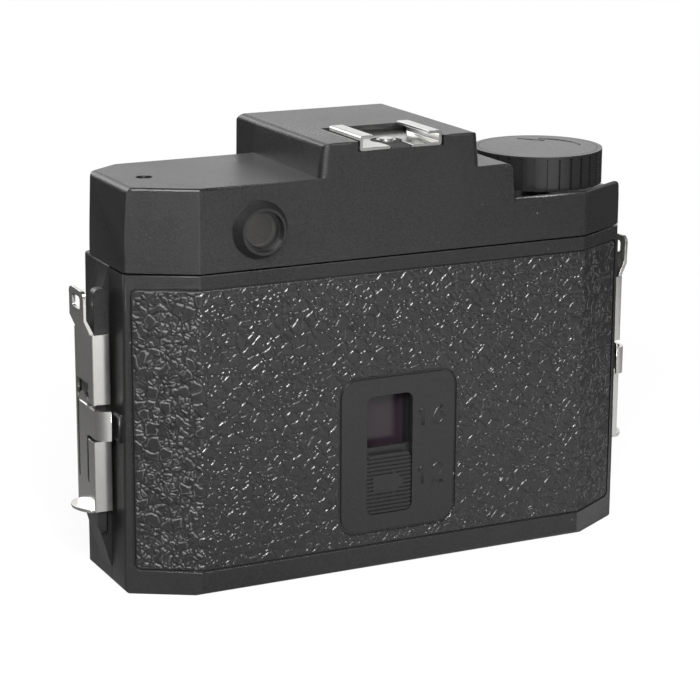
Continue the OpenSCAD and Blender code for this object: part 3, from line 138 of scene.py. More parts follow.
def grid_faces(rows: int, columns: int, closed: bool = False) -> Array:
    """Four-sided faces of a grid of points numbered row by row.

    Args:
        rows: number of rows of points.
        columns: number of points in a row.
        closed: whether each row is a closed ring.

    Returns:
        Array of shape (m, 4).
    """
    across = np.arange(columns if closed else columns - 1)
    r, c = np.meshgrid(np.arange(rows - 1), across, indexing="ij")
    r2, c2 = r + 1, (c + 1) % columns
    corners = [r * columns + c, r * columns + c2, r2 * columns + c2, r2 * columns + c]
    return np.stack(corners, -1).reshape(-1, 4)


def outward(piece: bpy.types.Object) -> None:
    """Turns the faces of a closed mesh outwards.

    Args:
        piece: the piece with the mesh.
    """
    bm = bmesh.new()
    bm.from_mesh(piece.data)
    bmesh.ops.recalc_face_normals(bm, faces=bm.faces)
    bm.to_mesh(piece.data)
    bm.free()


def swept(name: str, path: Array, normal: Array, width: float, height: float,
          sink: float = 0.1) -> bpy.types.Object:
    """Raised line: a half ellipse carried along a path that lies on a surface.

    The point at parameter (s, t) is path(s) + side(s) * width / 2 * cos(t) + normal * height * sin(t),
    with t from 0 to pi, and a flat underside sunk below the surface.

    Args:
        name: name of the piece.
        path: array (n, 3) of points on the surface.
        normal: the surface's outward normal, of length 1.
        width: width of the line.
        height: how far its crown stands proud.
        sink: how far its underside lies below the surface.

    Returns:
        The new object.
    """
    path, normal = np.asarray(path, float), np.asarray(normal, float)
    along = np.gradient(path, axis=0)
    along /= np.linalg.norm(along, axis=1)[:, None]
    side = np.cross(along, normal)
    t = np.linspace(0, math.pi, CROWN_POINTS)
    ring = np.concatenate([np.stack([np.cos(t) * width / 2, np.sin(t) * height], 1),
                           [[-width / 2, -sink], [width / 2, -sink]]])
    points = path[:, None] + side[:, None] * ring[None, :, 0:1] + normal * ring[None, :, 1:2]
    n, m = points.shape[:2]
    faces = grid_faces(n, m, closed=True).tolist()
    faces += [list(range(m))[::-1], [(n - 1) * m + i for i in range(m)]]
    piece = new_mesh(name, points.reshape(-1, 3), faces)
    outward(piece)
    return piece


def arc(cx: float, cy: float, radius: float, start: float, end: float, count: int) -> Array:
    """Points (x, y) on a circular arc, angles in degrees."""
    a = np.radians(np.linspace(start, end, count))
    return np.stack([cx + radius * np.cos(a), cy + radius * np.sin(a)], 1)


# Leather pattern


def hashed(ix: Array, iy: Array, seed: float) -> Array:
    """Repeatable number in 0..1 for each pair of whole numbers: the fraction of a large sine."""
    v = np.sin(ix * HASH_X + iy * HASH_Y + seed * HASH_SEED) * HASH_SCALE
    return v - np.floor(v)


def smooth_step(low: float, high: float, value: Array) -> Array:
    """Goes from 0 at low to 1 at high with level ends: 3 t^2 - 2 t^3."""
    t = np.clip((value - low) / (high - low), 0, 1)
    return t * t * (3 - 2 * t)


def value_noise(x: Array, y: Array, seed: float) -> Array:
    """Smooth noise in -1..1: hashed lattice values joined by smooth steps in both directions.

    Args:
        x: first coordinates, in lattice steps.
        y: second coordinates, in lattice steps.
        seed: number that picks the pattern.

    Returns:
        The noise at each point.
    """
    ix, iy = np.floor(x), np.floor(y)
    fx, fy = smooth_step(0, 1, x - ix), smooth_step(0, 1, y - iy)
    a, b = hashed(ix, iy, seed), hashed(ix + 1, iy, seed)
    c, d = hashed(ix, iy + 1, seed), hashed(ix + 1, iy + 1, seed)
    return 2 * ((a * (1 - fx) + b * fx) * (1 - fy) + (c * (1 - fx) + d * fx) * fy) - 1


def cell_edges(x: Array, y: Array, seed: float, jitter: float) -> Tuple[Array, Array]:
    """Distance to the nearest border between cells, and a number for the cell.

    Each unit square holds one seed point moved at random by up to half the jitter. A point belongs to
    its nearest seed, and its distance to the border with another seed is the dot product of the middle
    of the two seeds, seen from the point, with the direction from one seed to the other.

    Args:
        x: first coordinates, in cells.
        y: second coordinates, in cells.
        seed: number that picks the pattern.
        jitter: how far seeds leave their squares' middles, 0..1.

    Returns:
        The distances, in cells, and one value in 0..1 per cell.
    """
    ix, iy = np.floor(x), np.floor(y)

    def offset(i: int, j: int) -> Tuple[Array, Array, Array]:
        """Finds the seed of a neighbouring square.

        Args:
            i: how many squares it is away in x.
            j: how many squares it is away in y.

        Returns:
            The seed's x and y seen from each point, and the square's number.
        """
        gx, gy = ix + i, iy + j
        sx = gx + 0.5 + (hashed(gx, gy, seed) - 0.5) * jitter - x
        sy = gy + 0.5 + (hashed(gx, gy, seed + SECOND_NUMBER) - 0.5) * jitter - y
        return sx, sy, hashed(gx, gy, seed + CELL_NUMBER)

    best = np.full(x.shape, np.inf)
    near = [np.zeros_like(x), np.zeros_like(x), np.zeros_like(x)]
    for i in (-1, 0, 1):
        for j in (-1, 0, 1):
            seen = offset(i, j)
            d = seen[0] ** 2 + seen[1] ** 2
            closer = d < best
            best = np.where(closer, d, best)
            near = [np.where(closer, new, old) for new, old in zip(seen, near)]
    edge = np.full(x.shape, np.inf)
    for i in (-2, -1, 0, 1, 2):
        for j in (-2, -1, 0, 1, 2):
            sx, sy, _ = offset(i, j)
            dx, dy = sx - near[0], sy - near[1]
            length = np.sqrt(dx * dx + dy * dy)
            same = length < SAME_SEED
            d = ((sx + near[0]) * dx + (sy + near[1]) * dy) / 2 / np.where(same, 1, length)
            edge = np.where(same, edge, np.minimum(edge, d))
    return edge, near[2]


@dataclass(frozen=True)
class Leather:
    """Moulded leather: flat-topped islands of several sizes with narrow sloping rims.

    The plane is bent by smooth noise and split into large cells, and some of these are split again
    into small ones. The height is a smooth step of the distance to the nearest border, and small round
    pebbles lie in the valleys. Lengths are along the surface, and heights are shares.

    Attributes:
        bend, bend_size: amount and size of the broad noise that bends the plane.
        fine_bend, fine_bend_size: the same for the fine noise.
        shifts: shifts of two of the noises and of the small cells, which keep the patterns apart.
        large, small: widths of the cells.
        jitter, small_jitter: how far the middles of the cells leave their squares.
        split_over: a large cell is split when its number is over this.
        narrower: how much nearer an island comes to the border of a small cell than of a large one.
        rim: distances from a border where an island starts and where it is flat.
        sunk_under, sunk_share: small cells with a number under the first have this share of the height.
        pebble_over, pebble_share: small cells with a number over the first hold pebbles of this height.
        pebble_rim, valley: where a pebble rises, and how near to a large border it lies.
        uneven: how much lower the islands with high numbers are.
        dish, dish_size: amount and size of the waves on the islands.
        crown_at, crown_width: distance from a border at which a rim has its crown, and its width.
        worn, highlight_patch_size: span of the noise over which the crowns get a painted highlight, and the
            size of the patches.
    """

    bend: float = 0.55
    bend_size: float = 1.9
    fine_bend: float = 0.2
    fine_bend_size: float = 0.7
    shifts: Tuple[int, int, int] = (40, 9, 17)
    large: float = 2.7
    small: float = 1.35
    jitter: float = 0.9
    small_jitter: float = 1.0
    split_over: float = 0.40
    narrower: float = 0.06
    rim: Span = (0.08, 0.40)
    sunk_under: float = 0.22
    sunk_share: float = 0.25
    pebble_over: float = 0.55
    pebble_share: float = 0.6
    pebble_rim: Span = (0.08, 0.34)
    valley: Span = (0.40, 0.30)
    uneven: float = 0.12
    dish: float = 0.08
    dish_size: float = 0.9
    crown_at: float = 0.36
    crown_width: float = 0.08
    highlight_patch: Span = (-0.7, 0.3)
    highlight_patch_size: float = 1.3

    def bent(self, x: Array, y: Array, seed: float) -> Tuple[Array, Array]:
        """Bends the plane by the broad and the fine noise.

        Args:
            x: first coordinates on the surface.
            y: second coordinates on the surface.
            seed: number that picks the pattern.

        Returns:
            The moved coordinates.
        """
        bx, by = x / self.bend_size, y / self.bend_size
        fx, fy = x / self.fine_bend_size, y / self.fine_bend_size
        wx = x + self.bend * value_noise(bx, by, seed) + self.fine_bend * value_noise(fx, fy, seed + 1)
        wy = (y + self.bend * value_noise(bx + self.shifts[0], by, seed + 2)
              + self.fine_bend * value_noise(fx, fy + self.shifts[1], seed + 3))
        return wx, wy

    def relief(self, x: Array, y: Array, seed: float) -> Tuple[Array, Array]:
        """Height of the leather, and how much of each place is the crown of a rim, where a painted highlight
        goes.

        Args:
            x: first coordinates on the surface.
            y: second coordinates on the surface.
            seed: number that picks the pattern.

        Returns:
            Heights and shares of crown, about 0..1.
        """
        wx, wy = self.bent(x, y, seed)
        edge, kind = cell_edges(wx / self.large, wy / self.large, seed, self.jitter)
        edge = edge * self.large
        fine, fine_kind = cell_edges(wx / self.small + self.shifts[2], wy / self.small, seed + 11,
                                     self.small_jitter)
        fine = fine * self.small
        split = kind > self.split_over
        joined = np.where(split, np.minimum(edge, fine + self.narrower), edge)
        kept = np.where(split & (fine_kind < self.sunk_under), self.sunk_share, 1.0)
        island = smooth_step(*self.rim, joined) * kept * (1 - self.uneven * kind)
        pebble = smooth_step(*self.pebble_rim, fine) * smooth_step(*self.valley, edge)
        pebble = self.pebble_share * pebble * (fine_kind > self.pebble_over)
        dish = self.dish * value_noise(x / self.dish_size, y / self.dish_size, seed + 5)
        # Patches of noise and the crowns of the rims: where the grained finishes paint a paler highlight.
        highlight_patch = smooth_step(*self.highlight_patch, value_noise(x / self.highlight_patch_size, y / self.highlight_patch_size, seed + 6))
        crown = np.exp(-((joined - self.crown_at) / self.crown_width) ** 2) * highlight_patch
        return np.maximum(island, pebble) + dish, crown * kept


def add_rim(piece: bpy.types.Object, values: Array) -> None:
    """Stores the share of rim crown at each point of a grained piece, where the rims get a painted highlight.
    """
    layer = piece.data.attributes.new("rim", "FLOAT", "POINT")
    layer.data.foreach_set("value", np.asarray(values, np.float32))


# Nodes


def feed(tree: bpy.types.NodeTree, target: bpy.types.NodeSocket, value: Value) -> None:
    """Links an output to an input, or sets the input's own value.

    Args:
        tree: the tree that the input is in.
        target: the input.
        value: the output, or the number or colour.
    """
    if isinstance(value, bpy.types.NodeSocket):
        tree.links.new(value, target)
    else:
        target.default_value = value


def calculated(tree: bpy.types.NodeTree, operation: str, *values: Value) -> Output:
    """Adds a math node.

    Args:
        tree: the tree that it joins.
        operation: what it does, by Blender's name.
        values: outputs or numbers for its inputs, in order.

    Returns:
        Its output.
    """
    node = tree.nodes.new("ShaderNodeMath")
    node.operation = operation
    for target, value in zip(node.inputs, values):
        feed(tree, target, value)
    return node.outputs[0]


def mapped(tree: bpy.types.NodeTree, value: Output, source: Span, target: Tuple[Value, Value],
           smooth: bool = False) -> Output:
    """Adds a node that carries a value from one span to another.

    Args:
        tree: the tree that it joins.
        value: the value.
        source: span of the value.
        target: span of the result, numbers or outputs.
        smooth: whether the change has level ends.

    Returns:
        Its output.
    """
    node = tree.nodes.new("ShaderNodeMapRange")
    if smooth:
        node.interpolation_type = "SMOOTHSTEP"
    feed(tree, node.inputs["Value"], value)
    for key, limit in zip(("From Min", "From Max", "To Min", "To Max"), (*source, *target)):
        feed(tree, node.inputs[key], limit)
    return node.outputs[0]


def blended(tree: bpy.types.NodeTree, share: Output, first: Value, second: Value) -> Output:
    """Adds a node that blends two colours.

    Args:
        tree: the tree that it joins.
        share: share of the second colour.
        first: the first colour.
        second: the second colour.

    Returns:
        Its output.
    """
    node = tree.nodes.new("ShaderNodeMix")
    node.data_type = "RGBA"
    for key, value in (("Factor", share), (6, first), (7, second)):
        feed(tree, node.inputs[key], value)
    return node.outputs[2]


def parts_of(tree: bpy.types.NodeTree, vector: Output) -> Tuple[Output, Output, Output]:
    """Adds a node that takes a vector apart.

    Args:
        tree: the tree that it joins.
        vector: the vector.

    Returns:
        Its X, Y and Z.
    """
    split = tree.nodes.new("ShaderNodeSeparateXYZ")
    feed(tree, split.inputs[0], vector)
    return split.outputs["X"], split.outputs["Y"], split.outputs["Z"]


def new_group(name: str, inputs: Dict[str, SocketKind], outputs: Dict[str, SocketKind]) -> Tuple[
        bpy.types.NodeTree, bpy.types.NodeOutputs, bpy.types.NodeInputs]:
    """Makes a node group with named inputs and outputs.

    Args:
        name: name of the group.
        inputs: kind of each input.
        outputs: kind of each output.

    Returns:
        The group, the sockets that bring its inputs in, and those that take its outputs.
    """
    group = bpy.data.node_groups.new(name, "ShaderNodeTree")
    for way, sockets in (("INPUT", inputs), ("OUTPUT", outputs)):
        for key, kind in sockets.items():
            group.interface.new_socket(name=key, in_out=way, socket_type=kind.value)
    return group, group.nodes.new("NodeGroupInput").outputs, group.nodes.new("NodeGroupOutput").inputs


@dataclass(frozen=True)
class MouldedTexture:
    """Group of the fine moulded texture: height, shade and gloss that vary over the surface.

    A fine noise gives the stipple's height and the gloss of its crowns, and with a broad one it
    shifts the colour and the roughness a little, as handling does. Small pale specks of dust lie in
    some cells of a pattern. Scales are per metre.

    Attributes:
        name: name of the group.
        fine_detail, fine_roughness: character of the fine noise.
        broad_scale, broad_detail: character of the broad noise.
        dust_scale: cells of dust per metre.
        dust_over: a cell has dust when its number is over this.
        dust_radius: largest radius of a speck, in cells.
        dust_color: colour of the dust.
        gloss_span: heights of the stipple over which the gloss comes in.
    """

    name: str = "moulded_texture"
    fine_detail: float = 3.0
    fine_roughness: float = 0.65
    broad_scale: float = 45.0
    broad_detail: float = 4.0
    dust_scale: float = 330.0
    dust_over: float = 0.55
    dust_radius: float = 0.055
    dust_color: Color = (0.35, 0.35, 0.34)
    gloss_span: Span = (0.38, 0.62)

    def dust(self, tree: bpy.types.NodeTree, spot: Output) -> Output:
        """Adds the specks: a place is dusty when its cell is chosen and its middle is near.

        Args:
            tree: the group.
            spot: coordinates on the piece.

        Returns:
            The share of dust, 1 inside a speck and 0 outside.
        """
        cells = tree.nodes.new("ShaderNodeTexVoronoi")
        cells.inputs["Scale"].default_value = self.dust_scale
        feed(tree, cells.inputs["Vector"], spot)
        chosen = tree.nodes.new("ShaderNodeSeparateColor")
        feed(tree, chosen.inputs[0], cells.outputs["Color"])
        radius = mapped(tree, chosen.outputs[0], (self.dust_over, 1.0), (0.0, self.dust_radius))
        return calculated(tree, "LESS_THAN", cells.outputs["Distance"], radius)

    def group(self) -> bpy.types.NodeTree:
        """Makes the group when it is first asked for.

        Returns:
            The group.
        """
        found = bpy.data.node_groups.get(self.name)
        if found:
            return found
        color, number = SocketKind.COLOR, SocketKind.NUMBER
        g, given, out = new_group(
            self.name,
            {"Color": color, "Roughness": number, "Grain Size": number, "Mottle": number,
             "Dust": number, "Gloss": number},
            {"Color": color, "Roughness": number, "Height": number, "Gloss": number})
        spot = g.nodes.new("ShaderNodeTexCoord").outputs["Object"]
        fine, broad = g.nodes.new("ShaderNodeTexNoise"), g.nodes.new("ShaderNodeTexNoise")
        for node, scale, detail in ((fine, given["Grain Size"], self.fine_detail),
                                    (broad, self.broad_scale, self.broad_detail)):
            feed(g, node.inputs["Vector"], spot)
            feed(g, node.inputs["Scale"], scale)
            feed(g, node.inputs["Detail"], detail)
        fine.inputs["Roughness"].default_value = self.fine_roughness
        height = fine.outputs["Fac"]
        centred = calculated(g, "SUBTRACT", calculated(g, "ADD", height, broad.outputs["Fac"]), 1.0)
        change = calculated(g, "MULTIPLY_ADD", centred, given["Mottle"], 1.0)
        tint = g.nodes.new("ShaderNodeVectorMath")
        tint.operation = "SCALE"
        feed(g, tint.inputs[0], given["Color"])
        feed(g, tint.inputs["Scale"], change)
        amount = calculated(g, "MULTIPLY", self.dust(g, spot), given["Dust"])
        feed(g, out["Color"], blended(g, amount, tint.outputs[0], (*self.dust_color, 1)))
        feed(g, out["Roughness"], calculated(g, "MULTIPLY", given["Roughness"], change))
        feed(g, out["Height"], height)
        feed(g, out["Gloss"], mapped(g, height, self.gloss_span, (0.0, given["Gloss"])))
        return g


def painted_rim_highlights() -> bpy.types.NodeTree:
    """Makes the group of the leather's painted rim highlights when it is first asked for.

    It blends the leather's colour with a paler one by the rims' share of a place: a painted highlight on the
    rims' crowns.

    Returns:
        The group.
    """
    found = bpy.data.node_groups.get("painted_rim_highlights")
    if found:
        return found
    color = SocketKind.COLOR
    g, given, out = new_group("painted_rim_highlights", {"Color": color, "Rim Color": color, "Rim": SocketKind.NUMBER},
                              {"Color": color})
    feed(g, out["Color"], blended(g, given["Rim"], given["Color"], given["Rim Color"]))
    return g


# Finishes


@dataclass(frozen=True)
class Finish:
    """One surface finish.

    The texture group varies colour, roughness, gloss and relief. What is the same all over the surface
    is set on the shader itself.
    """

    name: str
    slot: str
    color: Color
    roughness: float
    metallic: float = 0.0
    grain_size: float = 2200.0
    mottle: float = 0.15
    dust: float = 0.0
    gloss: float = 0.0
    relief_um: float = 12.0
    specular: float = 0.5
    transmission: float = 0.0
    coat: float = 0.0
    ior: float = 1.5

    def material(self) -> bpy.types.Material:
        """Makes the material of this finish when it is first asked for.

        Returns:
            The material.
        """
        found = bpy.data.materials.get(self.name)
        if found:
            return found
        m = bpy.data.materials.new(self.name)
        m.use_nodes = True
        tree = m.node_tree
        shader = tree.nodes["Principled BSDF"].inputs
        for key, value in (("Metallic", self.metallic), ("Specular IOR Level", self.specular),
                           ("Transmission Weight", self.transmission), ("Coat Weight", self.coat),
                           ("IOR", self.ior)):
            shader[key].default_value = value
        texture = tree.nodes.new("ShaderNodeGroup")
        texture.node_tree = MouldedTexture().group()
        for key, value in (("Color", (*self.color, 1)), ("Roughness", self.roughness),
                           ("Grain Size", self.grain_size), ("Mottle", self.mottle), ("Dust", self.dust),
                           ("Gloss", self.gloss)):
            texture.inputs[key].default_value = value
        bump = tree.nodes.new("ShaderNodeBump")
        bump.inputs["Strength"].default_value = 1.0
        bump.inputs["Distance"].default_value = self.relief_um * MICRON
        feed(tree, shader["Base Color"], texture.outputs["Color"])
        feed(tree, shader["Roughness"], texture.outputs["Roughness"])
        if self.gloss:
            shader["Coat Roughness"].default_value = self.roughness
            feed(tree, shader["Coat Weight"], texture.outputs["Gloss"])
        feed(tree, bump.inputs["Height"], texture.outputs["Height"])
        feed(tree, shader["Normal"], bump.outputs["Normal"])
        self.extras(m)
        return m

    def extras(self, material: bpy.types.Material) -> None:
        """Nothing more for a plain finish."""


@dataclass(frozen=True)
class LeatherFinish(Finish):
    """Moulded leather: the crowns of the rims get a painted highlight, a paler colour where the attribute
    "rim" of the mesh says.
    """

    # Paler colour painted on the rims' crowns as a highlight.
    rim_highlight_color: Color = (0.16, 0.16, 0.157)

    def extras(self, material: bpy.types.Material) -> None:
        """Mixes the paler colour of the painted highlight in where the attribute says so.

        Args:
            material: the material, with the texture on its Base Color.
        """
        tree = material.node_tree
        color = tree.nodes["Principled BSDF"].inputs["Base Color"]
        rim = tree.nodes.new("ShaderNodeAttribute")
        rim.attribute_name = "rim"
        rims = tree.nodes.new("ShaderNodeGroup")
        rims.node_tree = painted_rim_highlights()
        rims.inputs["Rim Color"].default_value = (*self.rim_highlight_color, 1)
        feed(tree, rims.inputs["Color"], color.links[0].from_socket)
        feed(tree, rims.inputs["Rim"], rim.outputs["Fac"])
        feed(tree, color, rims.outputs["Color"])


BLACK = (0.008, 0.008, 0.0081)
SATIN = Finish("satin_black_plastic", "black_plastic", BLACK, 0.30, relief_um=90, mottle=0.5,
               grain_size=3600, dust=0.6, gloss=0.45)
# The grained finishes paint a paler highlight on the rims' crowns, dimmer on the facets.
GRAIN = LeatherFinish("grained_black_plastic", "grained_black", BLACK, 0.25, relief_um=45,
                      mottle=0.4, grain_size=3000, dust=0.2, gloss=0.8)
FACET_GRAIN = LeatherFinish("grained_black_facet", "grained_black", BLACK, 0.46, relief_um=40,
                            mottle=0.4, grain_size=3000, dust=0.2, specular=0.4,
                            rim_highlight_color=(0.08, 0.08, 0.079))
MATT = Finish("matt_black_plastic", "matt_black_plastic", (0.008, 0.008, 0.0082), 0.7, relief_um=10)
PLATE = Finish("smooth_black_plastic", "plate_plastic", BLACK, 0.34, relief_um=14, grain_size=3200,
               gloss=0.4)
KNOB = Finish("glossy_black_plastic", "black_plastic", (0.010, 0.010, 0.0102), 0.27, relief_um=8,
              grain_size=900, mottle=0.3)
STEEL = Finish("plated_steel", "nickel", (0.60, 0.59, 0.57), 0.32, metallic=1.0, relief_um=2, mottle=0.2)
CLIP = Finish("rolled_nickel", "clip_nickel", (0.78, 0.77, 0.74), 0.22, metallic=1.0, relief_um=3,
              mottle=0.25, grain_size=900)
BRIGHT = Finish("bright_nickel_plate", "bright_nickel", (0.72, 0.72, 0.70), 0.20, metallic=1.0,
                relief_um=1.5, mottle=0.2)
BRASS = Finish("spring_brass", "brass_strip", (0.70, 0.52, 0.25), 0.3, metallic=1.0, relief_um=1)
FOAM = Finish("black_foam", "foam", (0.02, 0.02, 0.02), 0.95, relief_um=60, grain_size=1500, mottle=0.5)
RED = Finish("dark_red_window", "red_window", (0.014, 0.009, 0.013), 0.22, relief_um=1, specular=0.6,
             mottle=0.1)
FINDER_GLASS = Finish("finder_acrylic", "finder_glass", (0.9, 0.93, 0.95), 0.04, transmission=1.0,
                      relief_um=0, mottle=0.0, ior=1.49)
EYE_GLASS = Finish("smoky_acrylic", "finder_glass", (0.55, 0.51, 0.48), 0.06, transmission=1.0,
                   relief_um=0, mottle=0.0, ior=1.49)
LENS_GLASS = Finish("lens_plastic", "lens_glass", (0.92, 0.94, 0.98), 0.03, transmission=1.0,
                    relief_um=0, mottle=0.0, coat=0.3)

NODE_FINISHES: Dict[str, Finish] = {
    "film_chamber": MATT, "film_mask": MATT, "tripod_socket": STEEL, "spool_pivots": STEEL,
    "deck_screw": STEEL, "shoe_insulator": MATT, "shoe_contact": BRIGHT, "contact_leaf": BRASS,
    "finder_eye_lens": EYE_GLASS, "finder_tube": MATT, "finder_front_lens": FINDER_GLASS,
    "front_body": SATIN, "top_cover": SATIN, "accessory_shoe": BRIGHT, "finder_eyepiece": SATIN,
    "finder_frame": SATIN, "front_grain_panels": GRAIN, "shutter_housing": SATIN, "shutter_plate": MATT,
    "release_spring": STEEL, "lens_barrel": SATIN, "housing_screws": STEEL, "ratchet_pawl": STEEL,
    "winding_knob": KNOB, "knob_cap": KNOB, "winding_shaft": STEEL, "take_up_spool": MATT,
    "release_lever": SATIN, "shutter_blade": STEEL, "aperture_lever": SATIN, "time_switch": SATIN,
    "lens_carriage": SATIN, "lens_element": LENS_GLASS, "lens_baffle": MATT, "focus_ring": SATIN,
    "back_cover": SATIN, "back_grain_panel": GRAIN, "window_plate": PLATE, "red_window": RED,
    "pressure_plate": STEEL, "foam_pad": FOAM, "light_seals": FOAM, "window_slider": PLATE,
    "left_clip": CLIP, "right_clip": CLIP,
}


def dress(piece: bpy.types.Object, finish: Finish) -> None:
    """Gives a piece one finish all over.

    Args:
        piece: the piece.
        finish: its finish.
    """
    material = finish.material()
    if not piece.data.materials:
        piece.data.materials.append(material)
    for slot in piece.material_slots:
        slot.link = "OBJECT"
        slot.material = material


def place(piece: bpy.types.Object, body: str, finish: Finish) -> None:
    """Dresses a new piece, makes it ride on its body and reports it.

    Args:
        piece: the piece.
        body: name of the body.
        finish: its finish.
    """
    dress(piece, finish)
    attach(piece, body)
    LOG.info("piece %s on %s, %d faces", piece.name, body, len(piece.data.polygons))


# Mouldings from the solids

EdgePick = Callable[[Vector, Vector, Vector], float]


@dataclass
class RoundedPart:
    """Copy of a solid with softened edges, shown in the solid's place.

    Attributes:
        node: the solid that it stands for.
        body: the body that it rides on.
        finish: its finish.
        width: width of the softened edges.
        pick: gives for the middle of an edge and its two face normals the share of the width, 0..1.
        segments: number of steps across an edge.
        shortest: edges shorter than this stay sharp.
        cuts: places along X where long faces are split first, so that softened edges can end there.
        merge_um: distance under which the solid's corners are merged.
        flat_degrees, sharp_degrees, crease_degrees: angles between faces that are taken as flat, that
            are softened, and that are shaded as a crease.
    """

    node: str
    body: str
    finish: Finish
    width: float
    pick: Optional[EdgePick] = None
    segments: int = 3
    shortest: float = 0.0
    cuts: Tuple[float, ...] = ()
    merge_um: float = 2.0
    flat_degrees: float = 0.5
    sharp_degrees: float = 30.0
    crease_degrees: float = 35.0

    def share(self, edge: bmesh.types.BMEdge) -> float:
        """Picks how much an edge is softened: not at all where it is flat, hollow or too short.

        Args:
            edge: an edge of the merged solid.

        Returns:
            Share of the width, 0..1.
        """
        if len(edge.link_faces) != 2 or edge.calc_length() < self.shortest * MM:
            return 0.0
        if edge.calc_face_angle_signed(0) < math.radians(self.sharp_degrees):
            return 0.0
        middle = (edge.verts[0].co + edge.verts[1].co) / 2 / MM
        a, b = (face.normal for face in edge.link_faces)
        return 1.0 if self.pick is None else float(self.pick(middle, a, b))

    def build(self) -> None:
        """Merges the solid's triangles, marks its sharp convex edges and softens them."""
        bm = bmesh.new()
        bm.from_mesh(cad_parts[self.node].data)
        bmesh.ops.remove_doubles(bm, verts=bm.verts, dist=self.merge_um * MICRON)
        bmesh.ops.dissolve_limit(bm, angle_limit=math.radians(self.flat_degrees), verts=bm.verts,
                                 edges=bm.edges)
        for x in self.cuts:
            bmesh.ops.bisect_plane(bm, geom=bm.verts[:] + bm.edges[:] + bm.faces[:], dist=MICRON,
                                   plane_co=(x * MM, 0, 0), plane_no=(1, 0, 0))
        weight = bm.edges.layers.float.new("bevel_weight_edge")
        for edge in bm.edges:
            edge[weight] = self.share(edge)
        name = self.node + "_moulding"
        mesh = bpy.data.meshes.new(name)
        bm.to_mesh(mesh)
        bm.free()
        if "custom_normal" in mesh.attributes:
            mesh.attributes.remove(mesh.attributes["custom_normal"])
        mesh.polygons.foreach_set("use_smooth", np.ones(len(mesh.polygons), bool))
        mesh.materials.clear()
        piece = bpy.data.objects.new(name, mesh)
        bpy.context.scene.collection.objects.link(piece)
        bevel = piece.modifiers.new("soft_edges", "BEVEL")
        bevel.width = self.width * MM
        bevel.segments = self.segments
        bevel.limit_method = "WEIGHT"
        bevel.use_clamp_overlap = False
        bevel.harden_normals = True
        mesh.set_sharp_from_angle(angle=math.radians(self.crease_degrees))
        place(piece, self.body, self.finish)
        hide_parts(self.node)


